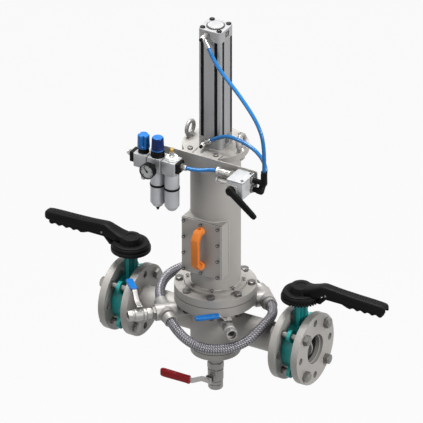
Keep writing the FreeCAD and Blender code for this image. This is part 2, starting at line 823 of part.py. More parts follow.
def ball_valve(bore, radius, start, end, flats, stem_height, reach, rise, grip_from, grip_width):
    """Ball valve drawn along +X. The stem points up, the lever along -Y."""
    middle = (start + end) / 2
    hex_length = (end - start) * 0.2
    ball_radius = bore * 1.35
    body = cyl(radius, end - start, (start, 0, 0), X_AXIS)
    body = body.fuse(prism(6, flats, hex_length, (start, 0, 0), X_AXIS))
    body = body.fuse(prism(6, flats, hex_length, (end - hex_length, 0, 0), X_AXIS))
    stem = bore * 0.42
    gland = cyl(stem * 1.9, stem_height * 0.72, (middle, 0, 0))
    nut = prism(6, stem * 4.2, 4.0, (middle, 0, stem_height * 0.72))
    body = fuse([body, gland, nut])
    body = body.cut(Part.makeSphere(ball_radius + gap, V(middle, 0, 0)))
    body = body.cut(cyl(bore, end - start, (start, 0, 0), X_AXIS))
    mouth_depth = hex_length - mouth_lip
    body = body.cut(cyl(bore + mouth_step, mouth_depth, (end - mouth_depth, 0, 0), X_AXIS))
    body = body.cut(cyl(stem + running_fit, stem_height + 10, (middle, 0, 0)))

    ball = Part.makeSphere(ball_radius, V(middle, 0, 0))
    ball = ball.cut(cyl(bore, 4 * bore, (middle, -2 * bore, 0), Y_AXIS))
    shaft = cyl(stem, stem_height + 6 - ball_radius * 0.8, (middle, 0, ball_radius * 0.8))
    cap_nut = prism(6, stem * 3.2, 3.5, (middle, 0, stem_height + 2.5))
    width = grip_width * 0.62
    low = stem_height
    high = stem_height + rise
    bend_a = reach * grip_from * 0.45
    bend_b = reach * grip_from * 0.85
    grip_y = reach * grip_from
    side = [(width / 2, low), (-bend_a, low), (-bend_b, high), (-grip_y, high),
            (-grip_y, high + 2.5), (-bend_b - 1, high + 2.5), (-bend_a - 1, low + 2.5), (width / 2, low + 2.5)]
    corners = [V(middle - width / 2, y, z) for y, z in side]
    corners.append(corners[0])
    strip = Part.Face(Part.makePolygon(corners)).extrude(V(width, 0, 0))
    moving = fuse([ball, shaft, cap_nut, strip])

    thick = grip_width * 0.5
    grip = box(middle - grip_width / 2, middle + grip_width / 2, -reach, -grip_y,
               high + 1.25 - thick / 2, high + 1.25 + thick / 2)
    long_edges = [e for e in grip.Edges if e.BoundBox.YLength > 1]
    grip = grip.makeFillet(thick * 0.3, long_edges)
    return body, moving, grip

# Air treatment set on the bracket: shut-off, filter regulator, lubricator
unit_y = -122.0
unit_z = 487.0
module = 40.0
module_height = 36.0
shutoff_neck = 12.0
bonnet_height = 16.0
oiler_cap = 9.0
oiler_seat = 20.0
module_bottom = 464.0
module_top = module_bottom + module_height
shutoff_x = -133.0
filter_x = -93.0
oiler_x = -53.0
bowl_radius = 18.5
bowl_bottom = 362.0
bracket_back = -85.0
bracket_front = bracket_back - bracket_thick
bracket_left = -130.0
bracket_right = 167.0
bracket_low = 462.0
bracket_high = 510.0
gauge_radius = 20.0
gauge_z = unit_z - 7.0
gauge_back = -160.0
gauge_front = -178.0
dial_depth = 3.0

# Hand lever valve beside the air treatment
block_left = 115.0
block_right = 161.0
block_front = -148.0
block_low = 458.0
block_high = 505.0
port_y = -104.0
port_inset = 11.0
port_high = block_high - port_inset
port_low = block_low + port_inset
pivot_x = block_left + 16.0
pivot_height = block_low + 21.0


def mounting_bracket():
    """Sheet plate with two tabs bent over the column's cover."""
    plate = box(bracket_left, bracket_right, bracket_front, bracket_back, bracket_low, bracket_high)
    upright = [e for e in plate.Edges if e.BoundBox.YLength > bracket_thick * 0.9]
    plate = plate.makeFillet(5.0, upright)
    seat = column_top + top_cover_thick
    for angle in (240, 300):
        x = top_pcd / 2 * math.cos(math.radians(angle))
        tab = box(x - 13, x + 13, bracket_back, -48.0, seat, seat + bracket_thick)
        plate = plate.fuse(tab)
    return lid_holes(plate).removeSplitter()


def service_modules():
    """Three square blocks in line, with rounded upright edges."""
    blocks = []
    for x in (shutoff_x, filter_x, oiler_x):
        half = module / 2 - 1.5
        block = box(x - half, x + half, unit_y - module / 2, unit_y + module / 2, module_bottom, module_top)
        upright = [e for e in block.Edges if e.BoundBox.ZLength > module_height * 0.9]
        block = block.makeFillet(3.0, upright)
        if x != shutoff_x:
            neck = cyl(bowl_radius, 4.0, (x, unit_y, module_bottom - 4.0))
            block = block.fuse(neck)
        if x == oiler_x:
            block = block.fuse(cyl(17.0, oiler_cap, (x, unit_y, module_top)))
        blocks.append(block.removeSplitter())
    return Part.makeCompound(blocks)


def service_clips():
    """Clamps between the blocks that also reach back to the bracket."""
    clips = []
    for x in (shutoff_x + module / 2, filter_x + module / 2):
        ring = box(x - 1.5, x + 1.5, unit_y - 17, unit_y + 20, module_bottom + 5, module_top - 4)
        foot = box(x - 1.5, x + 1.5, unit_y + 20, bracket_front, module_bottom + 8, module_top - 8)
        clips.append(ring.fuse(foot).removeSplitter())
    return Part.makeCompound(clips)


def service_trim():
    """Black end plates, spring housing, bowl rings, drain and silencer."""
    pieces = []
    x0 = shutoff_x - module / 2 + 1.5
    x1 = oiler_x + module / 2 - 1.5
    pieces.append(box(x0 - 12, x0, unit_y - 16, unit_y + 16, unit_z - 16, unit_z + 12))
    pieces.append(cyl(8.0, 9.0, (x0 - 21, unit_y, unit_z), X_AXIS))
    pieces.append(cyl(5.5, 6.0, (x0 - 27, unit_y, unit_z), X_AXIS))
    pieces.append(box(x1, x1 + 8, unit_y - 16, unit_y + 16, unit_z - 16, unit_z + 12))
    bonnet = cone(18.0, 14.5, bonnet_height, (filter_x, unit_y, module_top))
    pieces.append(bonnet.cut(cyl(5.0, bonnet_height, (filter_x, unit_y, module_top))))
    collar = cyl(13.0, shutoff_neck, (shutoff_x, unit_y, module_top))
    pieces.append(collar.cut(cyl(5.0, shutoff_neck, (shutoff_x, unit_y, module_top))))
    for x in (filter_x, oiler_x):
        pieces.append(tube(bowl_radius + 1.2, bowl_radius, 6.0, (x, unit_y, 418.0)))
    pieces.append(cone(3.0, 8.0, 13.0, (filter_x, unit_y, bowl_bottom - 13.0)))
    pieces.append(cyl(10.0, 2.0, (oiler_x, unit_y, bowl_bottom - 2.0)))
    pieces.append(cyl(7.0, 38.0, (shutoff_x, unit_y, module_bottom - 38.0)))
    pieces.append(cone(5.0, 7.0, 3.0, (shutoff_x, unit_y, module_bottom - 41.0)))
    return Part.makeCompound(pieces)


def service_bowls():
    bowls = []
    top = module_bottom - 4.0
    for x in (filter_x, oiler_x):
        outline = [(0, bowl_bottom), (12, bowl_bottom), (bowl_radius, bowl_bottom + 10), (bowl_radius, top), (0, top)]
        bowls.append(revolved(outline, V(x, unit_y, 0)))
    return Part.makeCompound(bowls)


def shutoff_knob():
    """Rotary knob with two lobes and a spindle."""
    base = module_top + shutoff_neck + gap
    lobes = cyl(15.5, 36.0, (shutoff_x, unit_y, base))
    for side in (-1, 1):
        lobes = lobes.cut(cyl(9.0, 30.0, (shutoff_x, unit_y + side * 19.0, base + 8.0)))
    spindle = cyl(5.0 - running_fit, 8.0, (shutoff_x, unit_y, base - 4.0))
    return fuse([lobes, spindle])


def regulator_knob():
    """Tapered knob with flutes round its skirt."""
    base = module_top + bonnet_height + gap
    z = base - 8.0
    knob = revolved([(0, z), (5.0 - running_fit, z), (5.0 - running_fit, base), (16.0, base), (14.5, base + 20),
                     (14.5, base + 33), (12.5, base + 35), (0, base + 35)], V(filter_x, unit_y, 0))
    flute = cyl(1.6, 18.0, (16.6, 0, base))
    for cutter in on_circle(flute, 12):
        knob = knob.cut(moved(cutter, filter_x, unit_y, 0))
    return knob


def oiler_sight():
    return tube(6.0, 3.0, oiler_seat - oiler_cap, (oiler_x, unit_y, module_top + oiler_cap))


def lubricator_screw():
    """Brass drip screw with a knurled head."""
    z = module_top + oiler_seat + gap
    spindle = oiler_seat - oiler_cap
    screw = cyl(3.0 - running_fit, spindle, (oiler_x, unit_y, z - spindle))
    head = prism(12, 10.0, 11.0, (oiler_x, unit_y, z))
    return fuse([screw, head])


def pressure_gauge():
    """Round case with a bezel standing proud of the dial."""
    stem_back = unit_y - module / 2
    case = cyl(gauge_radius, gauge_back - gauge_front, (filter_x, gauge_back, gauge_z), -Y_AXIS)
    face = cyl(gauge_radius - 2.0, dial_depth, (filter_x, gauge_front + dial_depth, gauge_z), -Y_AXIS)
    case = case.cut(face)
    stem = cyl(6.0, stem_back - gauge_back, (filter_x, stem_back, gauge_z), -Y_AXIS)
    case = fuse([case, stem])
    return case.cut(cyl(1.0 + running_fit, 3.0, (filter_x, gauge_front + dial_depth + 3.0, gauge_z), -Y_AXIS))


def gauge_needle():
    """Pointer on a pin, just above the dial."""
    y = gauge_front + dial_depth - 0.5
    pin = cyl(1.0, 3.5, (filter_x, y + 3.5, gauge_z), -Y_AXIS)
    cap = cyl(2.5, 1.0, (filter_x, y, gauge_z), -Y_AXIS)
    outline = [(-1.2, -4.0), (1.2, -4.0), (0.4, 14.0), (-0.4, 14.0)]
    hand = profile(outline, 1.0, y - 1.0)
    hand = moved(hand, filter_x, 0, gauge_z)
    hand.rotate(V(filter_x, 0, gauge_z), Y_AXIS, -40)
    return fuse([pin, cap, hand])


def lever_valve_body():
    """Valve block with side ports and a clip plate at the lever."""
    block = box(block_left, block_right, block_front, bracket_front, block_low, block_high)
    upright = [e for e in block.Edges if e.BoundBox.ZLength > 40]
    block = block.makeFillet(2.5, upright)
    for z in (port_high, port_low):
        block = block.cut(cyl(6.0, 8.0, (block_left, port_y, z), X_AXIS))
        block = block.cut(cyl(6.0, 8.0, (block_right - 8.0, port_y, z), X_AXIS))
    plate = box(pivot_x - 12, pivot_x + 14, block_front - 2, block_front, pivot_height - 11, pivot_height + 13)
    block = block.fuse(plate)
    return block.cut(cyl(5.0 + running_fit, 12.0, (pivot_x, block_front + 10, pivot_height), -Y_AXIS))


def valve_handle():
    """Tapered hand lever on a round hub, lowered to the right."""
    y = block_front - 2 - gap
    hub = cyl(11.0, 12.0, (pivot_x, y, pivot_height), -Y_AXIS)
    pin = cyl(5.0, 10.0, (pivot_x, y + 10.0, pivot_height), -Y_AXIS)
    arm = profile([(0, -8.5), (84, -6.0), (90, -3.5), (90, 3.5), (84, 6.0), (0, 8.5)], 9.0, y - 12.0)
    arm.rotate(ORIGIN, Y_AXIS, 38.0)
    arm = moved(arm, pivot_x, 0, pivot_height)
    return fuse([hub, pin, arm])

# Hose routes, chosen by hand. The frame is the vessel's.
flush_front_route = [(-71.4, -109.6, 45.0), (-20.0, -152.0, 30.0), (50.0, -146.0, 2.0), (126.0, -98.0, 8.0),
                     (160.0, -45.0, 50.0), (156.0, 28.0, 58.0), (110.0, 72.0, 45.0)]
flush_back_route = [(-109.6, -71.4, 45.0), (-152.0, -28.0, 54.0), (-158.0, 48.0, 75.0), (-100.0, 125.0, 77.0),
                    (-5.0, 157.0, 60.0), (72.0, 110.0, 45.0)]
upper_route = [(5.1, -45.0, 791.0), (27.0, -50.0, 752.0), (110.0, -75.0, 702.0), (180.0, -98.0, 645.0),
               (198.0, -104.0, 585.0), (196.0, -104.0, 523.0)]
lower_route = [(13.3, -45.0, 534.0), (47.0, -46.0, 559.0), (94.0, -54.0, 564.0), (141.0, -61.0, 556.0),
               (172.0, -67.0, 536.0), (187.0, -74.2, 508.7), (187.0, -92.0, 485.0)]
supply_route = [(-16.0, -122.0, 487.0), (14.0, -122.0, 486.0), (52.0, -104.0, 493.0), (83.0, -104.0, 494.0)]
upper_elbow_x = 196.0
upper_elbow_leg = 33.0
lower_elbow_x = 187.0
lower_elbow_leg = 24.0
lower_elbow_tilt = 36.87
collet_depth = 4.0
elbow_radius = 7.2
ferrule_wall = 4.0


def hose(route, diameter, name):
    """Round hose: straight runs joined by tangent arcs, swept with a circle."""
    points = [V(*p) for p in route]
    edges = []
    radii = []
    length = 0.0
    start = points[0]
    for i in range(1, len(points) - 1):
        before = points[i] - points[i - 1]
        after = points[i + 1] - points[i]
        half_turn = before.getAngle(after) / 2
        setback = 0.45 * min(before.Length, after.Length)
        radius = setback / math.tan(half_turn)
        before.normalize()
        after.normalize()
        inward = after - before
        inward.normalize()
        enter = points[i] - before * setback
        leave = points[i] + after * setback
        middle = points[i] + inward * (radius / math.cos(half_turn) - radius)
        edges.append(Part.LineSegment(start, enter).toShape())
        edges.append(Part.Arc(enter, middle, leave).toShape())
        radii.append(round(radius, 1))
        start = leave
    edges.append(Part.LineSegment(start, points[-1]).toShape())
    path = Part.Wire(edges)
    circle = Part.Wire(Part.Circle(points[0], points[1] - points[0], diameter / 2).toShape())
    solid = path.makePipeShell([circle], True, False)
    length = path.Length
    section = math.pi * diameter ** 2 / 4
    print(name, "radii", radii, "length", round(length), "volume ratio", round(solid.Volume / section / length, 3))
    return solid


def ferrule(route):
    """Crimped sleeve round the first length of a flush hose."""
    start = V(*route[0])
    way = V(*route[1]) - start
    way.normalize()
    sleeve = Part.makeCylinder(hose_od / 2 + ferrule_wall, ferrule_length, start, way)
    return sleeve.cut(Part.makeCylinder(hose_od / 2, ferrule_length, start, way))


def flush_fittings():
    """Cross, tee, nipples to the two valves, and the hoses' sleeves."""
    root = cross_reach - branch_reach
    run = along_x(fitting_od / 2, 0, root, cross_reach + branch_reach, nozzle_z)
    branch = cyl(fitting_od / 2 - 1.5, 2 * branch_reach, (cross_reach, -branch_reach, nozzle_z), Y_AXIS)
    nipple = along_x(13.0, 0, cross_reach + branch_reach, flush_start, nozzle_z)
    bore = along_x(nozzle_od / 2 - nozzle_wall, 0, root, cross_reach + branch_reach - ferrule_wall, nozzle_z)
    way = along_x(valve_bore, 0, root, flush_start, nozzle_z)
    cross = fuse([run, branch, nipple]).cut(bore).cut(way)
    leg = along_x(fitting_od / 2 - 1.0, 0, root, cross_reach, nozzle_z)
    tee = fuse([leg, branch]).cut(along_x(nozzle_od / 2 - nozzle_wall, 0, root, cross_reach, nozzle_z))
    stub_end = vessel_od / 2 + 12
    sample_nipple = along_x(nozzle_od / 2 - 1.0, valve_bore, stub_end, sample_start, nozzle_z)
    pieces = [on_nozzle(cross, cross_angle), on_nozzle(tee, tee_angle), on_nozzle(sample_nipple, sample_angle)]
    for route in (flush_front_route, flush_back_route):
        pieces.append(ferrule(route))
        pieces.append(ferrule(route[::-1]))
    return Part.makeCompound(pieces)


valve_bore = 9.0
valve_radius = 15.0
flush_start = 165.0
flush_end = 224.0
sample_start = 86.0
sample_end = 156.0
drain_start = 36.0


def drain_nipple():
    nipple = prism(6, 36.0, drain_start, (0, 0, vessel_bottom), -Z_AXIS)
    return nipple.cut(cyl(drain_bore, drain_start, (0, 0, vessel_bottom - drain_start)))


def below_vessel(shape):
    """Place a valve drawn along +X under the vessel, its stem to the front."""
    copy = shape.copy()
    turn = FreeCAD.Rotation(-Z_AXIS, X_AXIS, -Y_AXIS, "XYZ")
    copy.Placement = FreeCAD.Placement(V(0, 0, vessel_bottom), turn).multiply(copy.Placement)
    return copy


def beside_vessel(shape, angle):
    return on_nozzle(moved(shape, 0, 0, nozzle_z), angle)


def tube_fittings():
    """Nickel fittings: unit outlet, valve inlet and a plug with a vent."""
    outlet = oiler_x + module / 2 + 6.5
    pieces = []
    straight = fuse([
        prism(6, 17.0, 7.0, (outlet, unit_y, unit_z), X_AXIS),
        cyl(7.5, 15.5, (outlet, unit_y, unit_z), X_AXIS),
    ])
    pieces.append(straight.cut(cyl(hose_small / 2, 8.0, (outlet + 9, unit_y, unit_z), X_AXIS)))
    inlet = fuse([
        cyl(6.0, 8.0, (block_left, port_y, port_high), X_AXIS),
        prism(6, 17.0, 12.0, (block_left, port_y, port_high), -X_AXIS),
        cyl(8.0, 37.0, (block_left, port_y, port_high), -X_AXIS),
    ])
    pieces.append(inlet.cut(cyl(hose_small / 2, 6.0, (block_left - 37, port_y, port_high), X_AXIS)))
    vent = fuse([
        cyl(6.0, 8.0, (block_left, port_y, port_low), X_AXIS),
        prism(6, 15.0, 8.0, (block_left, port_y, port_low), -X_AXIS),
        cyl(6.5, 26.0, (block_left, port_y, port_low), -X_AXIS),
    ])
    pieces.append(vent)
    return Part.makeCompound(pieces)


def elbow_fittings():
    """Two black swivel elbows. The upper one stands up, the lower one leans back."""
    pieces = []
    for z, reach, leg_length, tilt in (
        (port_high, upper_elbow_x, upper_elbow_leg, 0.0),
        (port_low, lower_elbow_x, lower_elbow_leg, lower_elbow_tilt),
    ):
        angle = math.radians(tilt)
        way = V(0, math.sin(angle), math.cos(angle))
        middle = V(reach, port_y, z)
        run = cyl(6.0, reach - block_right + 8, (block_right - 8, port_y, z), X_AXIS)
        nut = prism(6, 17.0, 6.0, (block_right, port_y, z), X_AXIS)
        corner = Part.makeSphere(elbow_radius, middle)
        leg = Part.makeCylinder(elbow_radius, leg_length, middle, way)
        mouth = Part.makeCylinder(hose_small / 2, collet_depth, middle + way * (leg_length - collet_depth), way)
        pieces.append(fuse([run, nut, corner, leg]).cut(mouth))
    return Part.makeCompound(pieces)


# The whole part, piece by piece
base_ring, top_ring = column_rings()
keep("vessel_shell", vessel_shell())
keep("vessel_pipes", Part.makeCompound([vessel_pipes(), nozzles()]))
keep("vessel_flange", vessel_flange())
keep("flange_gasket", flange_gasket())
keep("tube_nest", tube_nest())
keep("cover_flange", cover_flange())
keep("column_shell", Part.makeCompound([column_shell(), base_ring, lid_holes(top_ring)]))
keep("vessel_flange_bolts", vessel_flange_bolts())
keep("column_bolts", Part.makeCompound([base_ring_screws(), column_bolts(), cylinder_screws()]))
keep("top_cover", top_cover())
keep("lifting_eyes", lifting_eyes())
keep("hatch_box", hatch_box())
keep("hatch_gasket", hatch_gasket_frame())
keep("hatch_cover", hatch_cover())
keep("hatch_handle", hatch_handle())
keep("hatch_screws", hatch_screws())
keep("cylinder_barrel", cylinder_barrel())
keep("cylinder_end_caps", cylinder_end_caps())

upper_body, upper_knob = flow_control(port_upper_z, upper_lean)
lower_body, lower_knob = flow_control(port_lower_z, lower_lean)
keep("flow_controls", Part.makeCompound([upper_body, lower_body, upper_knob, lower_knob]))

keep("piston_rod", piston_rod())
keep("magnet_carrier", magnet_carrier())
keep("magnet_rods", magnet_rods())

inner_flange = pipe_flange(inner_back, pipe_od / 2)
outer_flange = pipe_flange(face_x - flange_thick, pipe_bore)
socket_depth = flange_thick - (disc_radius - valve_gap / 2) - gap
outer_flange = outer_flange.cut(cyl(pipe_od / 2 + socket_fit, socket_depth, (face_x - socket_depth, 0, 0), X_AXIS))
keep("pipe_flanges", Part.makeCompound([inner_flange, turned(inner_flange, 180)]))
keep("counter_flanges", Part.makeCompound([outer_flange, turned(outer_flange, 180)]))
keep("butterfly_bodies", both_stations(wafer_body()))
keep("butterfly_liners", both_stations(valve_liner()))
keep("notch_plates", both_stations(notch_plate()))
keep("pipeline_bolts", both_stations(station_bolts()))
for station, side in (("inlet", -1), ("outlet", 1)):
    keep(station + "_disc", on_station(valve_disc(), side))
    keep(station + "_lever", on_station(valve_lever(), side))
    keep(station + "_trigger", on_station(lever_trigger(), side))

keep("flush_fittings", flush_fittings())
small = (valve_bore, valve_radius)
for valve, angle, start, end, reach, rise, grip_from in (
    ("flush", cross_angle, flush_start, flush_end, 100.0, 18.0, 0.5),
    ("sample", sample_angle, sample_start, sample_end, 85.0, 13.0, 0.28),
):
    body, lever, grip = ball_valve(valve_bore, valve_radius, start, end, 30.0, 25.0, reach, rise, grip_from, 19.0)
    keep(valve + "_valve_body", beside_vessel(body, angle))
    keep(valve + "_valve_lever", beside_vessel(Part.makeCompound([lever, grip]), angle))
body, lever, grip = ball_valve(drain_bore, drain_body_od / 2, drain_start, drain_length, 39.0, 36.0, 124.0,
                               20.0, 0.32, 23.5)
keep("drain_valve_body", fuse([below_vessel(body), drain_nipple()]))
keep("drain_valve_lever", below_vessel(Part.makeCompound([lever, grip])))

keep("mounting_bracket", mounting_bracket())
keep("service_modules", service_modules())
keep("service_clips", Part.makeCompound([service_clips(), oiler_sight()]))
keep("service_trim", service_trim())
keep("service_bowls", service_bowls())
keep("shutoff_knob", shutoff_knob())
keep("regulator_knob", regulator_knob())
keep("lubricator_screw", lubricator_screw())
keep("pressure_gauge", pressure_gauge())
keep("gauge_needle", gauge_needle())
keep("lever_valve_body", lever_valve_body())
keep("valve_handle", valve_handle())
keep("tube_fittings", tube_fittings())
keep("elbow_fittings", elbow_fittings())
keep("flush_hose_front", hose(flush_front_route, hose_od, "flush_hose_front"))
keep("flush_hose_back", hose(flush_back_route, hose_od, "flush_hose_back"))
keep("supply_hose", hose(supply_route, hose_small, "supply_hose"))
keep("cylinder_hose_upper", hose(upper_route, hose_small, "cylinder_hose_upper"))
keep("cylinder_hose_lower", hose(lower_route, hose_small, "cylinder_hose_lower"))

for name, shape in nodes.items():
    shape.exportStep("parts/" + name + ".step")
    box_now = shape.BoundBox
    print(name, len(shape.Solids), round(box_now.XLength), round(box_now.YLength), round(box_now.ZLength))
print(len(nodes), "nodes")
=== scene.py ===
import bpy
import bmesh
import math
from mathutils import Matrix, Vector


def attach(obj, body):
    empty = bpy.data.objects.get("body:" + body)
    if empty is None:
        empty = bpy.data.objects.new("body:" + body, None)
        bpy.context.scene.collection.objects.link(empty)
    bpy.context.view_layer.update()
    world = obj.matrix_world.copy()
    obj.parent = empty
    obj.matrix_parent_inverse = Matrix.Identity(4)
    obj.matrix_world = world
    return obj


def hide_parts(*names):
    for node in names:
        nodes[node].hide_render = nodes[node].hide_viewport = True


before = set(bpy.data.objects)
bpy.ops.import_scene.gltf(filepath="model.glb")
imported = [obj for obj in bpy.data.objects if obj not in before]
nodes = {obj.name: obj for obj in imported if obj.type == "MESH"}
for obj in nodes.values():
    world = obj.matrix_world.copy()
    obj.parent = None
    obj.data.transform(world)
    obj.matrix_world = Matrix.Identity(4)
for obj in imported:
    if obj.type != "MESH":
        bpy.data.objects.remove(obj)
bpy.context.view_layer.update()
scene = bpy.context.scene

# Stainless vessel, column, flanges and pipes: rolled and turned 304 steel, welded,
# then bead blasted to an even satin. The tubes and fittings inside are brighter.

def put(tree, kind, wires=None, **settings):
    """Adds a node, sets it, and feeds its sockets with values or other nodes' outputs."""
    made = tree.nodes.new(kind)
    for key, value in settings.items():
        setattr(made, key, value)
    for socket, value in (wires or {}).items():
        if isinstance(value, bpy.types.NodeSocket):
            tree.links.new(value, made.inputs[socket])
        else:
            made.inputs[socket].default_value = value
    return made.outputs


def surface(name, dark, light, rough, metallic=0.0, scale=30.0, stretch=(1, 1, 1), bump=0.1, grain=400.0,
            soft=0.5, edge_highlight=None, shine=0.5):
    """A finish with cloudy colour and gloss, a fine grain, softened edges and, if wanted, a painted highlight
    on them.
    """
    m = bpy.data.materials.new(name)
    m.use_nodes = True
    tree = m.node_tree
    shader = tree.nodes["Principled BSDF"]
    place = put(tree, "ShaderNodeTexCoord")["Object"]
    drawn = put(tree, "ShaderNodeMapping", {"Vector": place, "Scale": stretch})[0]
    cloud = put(tree, "ShaderNodeTexNoise", {"Vector": drawn, "Scale": scale, "Detail": 5.0})["Fac"]
    colour = put(tree, "ShaderNodeMix", {0: cloud, 6: (*dark, 1), 7: (*light, 1)}, data_type="RGBA")[2]
    # Painted highlight: sharp edges, found by their pointiness, are mixed toward a lighter colour.
    if edge_highlight:
        edge = put(tree, "ShaderNodeNewGeometry")["Pointiness"]
        highlight_mask = put(tree, "ShaderNodeMapRange", {"Value": edge, "From Min": 0.52, "From Max": 0.60})[0]
        colour = put(tree, "ShaderNodeMix", {0: highlight_mask, 6: colour, 7: (*edge_highlight, 1)}, data_type="RGBA")[2]
    gloss = put(tree, "ShaderNodeMapRange", {"Value": cloud, "To Min": rough[0], "To Max": rough[1]})[0]
    fine = put(tree, "ShaderNodeTexNoise", {"Vector": drawn, "Scale": grain, "Detail": 3.0})["Fac"]
    rounded = put(tree, "ShaderNodeBevel", {"Radius": soft / 1000}, samples=4)[0]
    bumps = {"Strength": bump, "Distance": 0.0005, "Height": fine, "Normal": rounded}
    relief = put(tree, "ShaderNodeBump", bumps)[0]
    for socket, value in (("Base Color", colour), ("Roughness", gloss), ("Normal", relief)):
        tree.links.new(value, shader.inputs[socket])
    shader.inputs["Metallic"].default_value = metallic
    shader.inputs["Specular IOR Level"].default_value = shine
    return m


def paint(material, *names):
    for name in names:
        mesh = nodes[name].data
        mesh.materials.clear()
        mesh.materials.append(material)


steel = surface("satin stainless", (0.29, 0.277, 0.26), (0.34, 0.325, 0.305), (0.46, 0.58), metallic=0.25,
                scale=14, bump=0.2, grain=900)
paint(steel, "vessel_shell", "vessel_pipes", "vessel_flange", "cover_flange", "column_shell", "top_cover",
      "hatch_box", "hatch_cover", "pipe_flanges", "counter_flanges", "mounting_bracket", "magnet_carrier",
      "inlet_disc", "outlet_disc")
bright = surface("bright stainless", (0.26, 0.25, 0.24), (0.34, 0.33, 0.315), (0.38, 0.5), metallic=0.5,
                 scale=60, bump=0.1)
paint(bright, "tube_nest", "magnet_rods", "piston_rod", "lifting_eyes", "flush_fittings", "flush_valve_body",
      "sample_valve_body", "drain_valve_body")

# Seals and seats: black nitrile rubber, moulded, and slightly bloomed on the
# surface. The gaskets are cut from sheet, and the liners wrap the valve rings.
rubber = surface("black rubber", (0.010, 0.010, 0.010), (0.025, 0.025, 0.025), (0.55, 0.75), scale=50,
                 bump=0.2)
paint(rubber, "flange_gasket", "hatch_gasket", "butterfly_liners")

# Hexagon bolts and nuts: cold headed stainless with a washer face, a turned
# chamfer on the crown and a rolled thread end. Each was stopped at its own turn.
# Places are in millimetres from the vessel's axis, and the row starts at the inlet.
bolt_steel = surface("bolt steel", (0.14, 0.136, 0.13), (0.25, 0.243, 0.23), (0.24, 0.38), metallic=0.8,
                     scale=60)
inlet_face = 283.0


def vessel(x, y, z):
    return Vector((inlet_face + x, y, z)) / 1000


def laid(x=0.0, y=0.0, z=0.0, z_axis=(0, 0, 1), x_axis=(1, 0, 0)):
    """Where a shape drawn in millimetres about its own Z axis goes."""
    up = Vector(z_axis).normalized()
    side = Vector(x_axis)
    side = (side - up * side.dot(up)).normalized()
    turn = Matrix((side, up.cross(side), up)).transposed().to_4x4()
    return Matrix.Translation(vessel(x, y, z)) @ turn @ Matrix.Scale(0.001, 4)


def calc(tree, operation, *values):
    return put(tree, "ShaderNodeMath", dict(enumerate(values)), operation=operation)[0]


def new_group(title, **sizes):
    """A node group that takes places, these sizes and a finish."""
    tree = bpy.data.node_groups.new(title, "GeometryNodeTree")
    tree.interface.new_socket("Geometry", in_out="OUTPUT", socket_type="NodeSocketGeometry")
    tree.interface.new_socket("places", in_out="INPUT", socket_type="NodeSocketGeometry")
    names = {}
    for name, value in sizes.items():
        kind = "NodeSocketInt" if isinstance(value, int) else "NodeSocketFloat"
        socket = tree.interface.new_socket(name, in_out="INPUT", socket_type=kind)
        socket.default_value = value
        names[name] = socket.identifier
    coat = tree.interface.new_socket("finish", in_out="INPUT", socket_type="NodeSocketMaterial")
    names["finish"] = coat.identifier
    return tree, names, tree.nodes.new("NodeGroupInput").outputs


def cone(tree, sides, bottom, top, height, lift=0.0):
    """A cone or a prism standing on its Z axis at lift."""
    shape = {"Vertices": sides, "Radius Top": top, "Radius Bottom": bottom, "Depth": height}
    solid = put(tree, "GeometryNodeMeshCone", shape)[0]
    way = put(tree, "ShaderNodeCombineXYZ", {"Z": lift})[0]
    return put(tree, "GeometryNodeTransform", {"Geometry": solid, "Translation": way})[0]


def gathered(tree, *pieces):
    joined = put(tree, "GeometryNodeJoinGeometry")[0]
    for one in pieces:
        tree.links.new(one, joined.node.inputs[0])
    return joined


def boolean(tree, operation, first, second):
    cut = put(tree, "GeometryNodeMeshBoolean", {1: second}, operation=operation)[0]
    tree.links.new(first, cut.node.inputs[1 if operation == "INTERSECT" else 0])
    return cut


def repeated(tree, given, shape, points=None, **wires):
    """Every group ends the same way: the shape at each point, as real mesh, in its finish."""
    wires.update(Points=points or given["places"], Instance=shape)
    placed = put(tree, "GeometryNodeInstanceOnPoints", wires)[0]
    real = put(tree, "GeometryNodeRealizeInstances", {0: placed})[0]
    coat = put(tree, "GeometryNodeSetMaterial", {"Geometry": real, "Material": given["finish"]})[0]
    put(tree, "NodeGroupOutput", {0: coat})


def added(name, data):
    made = bpy.data.objects.new(name, data)
    scene.collection.objects.link(made)
    return made


def frozen(thing):
    """What an object comes to, as a plain mesh."""
    bpy.context.view_layer.update()
    return bpy.data.meshes.new_from_object(thing.evaluated_get(bpy.context.evaluated_depsgraph_get()))


def grown(name, body, replaced, group, places, place, finish, edges=(), **sizes):
    """Runs a node group on these places and keeps the result as a plain piece."""
    tree, names, given = group
    seeds = bpy.data.meshes.new(name)
    seeds.from_pydata(places, edges, [])
    grower = added(name, seeds)
    shape = grower.modifiers.new("shape", "NODES")
    shape.node_group = tree
    for title, value in sizes.items():
        shape[names[title]] = value
    shape[names["finish"]] = finish
    mesh = frozen(grower)
    grower.modifiers.clear()
    mesh.transform(place)
    return settled(grower, mesh, body, replaced)


def settled(piece, mesh, body, replaced):
    """Gives a piece its mesh, smooth where it is round, and tells what it moves with and stands for."""
    mesh.shade_smooth()
    mesh.set_sharp_from_angle(angle=math.radians(32))
    piece.data = mesh
    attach(piece, body)
    if replaced:
        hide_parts(replaced)
    return piece


def turns(count, first=0.0):
    """Even turns round a circle."""
    return [first + 2 * math.pi * i / count for i in range(count)]


def polar(radius, turn, height=0.0):
    return (radius * math.cos(turn), radius * math.sin(turn), height)


def ring(count, radius, first=0.0, z=0.0):
    return [polar(radius, a, z) for a in turns(count, math.radians(first))]


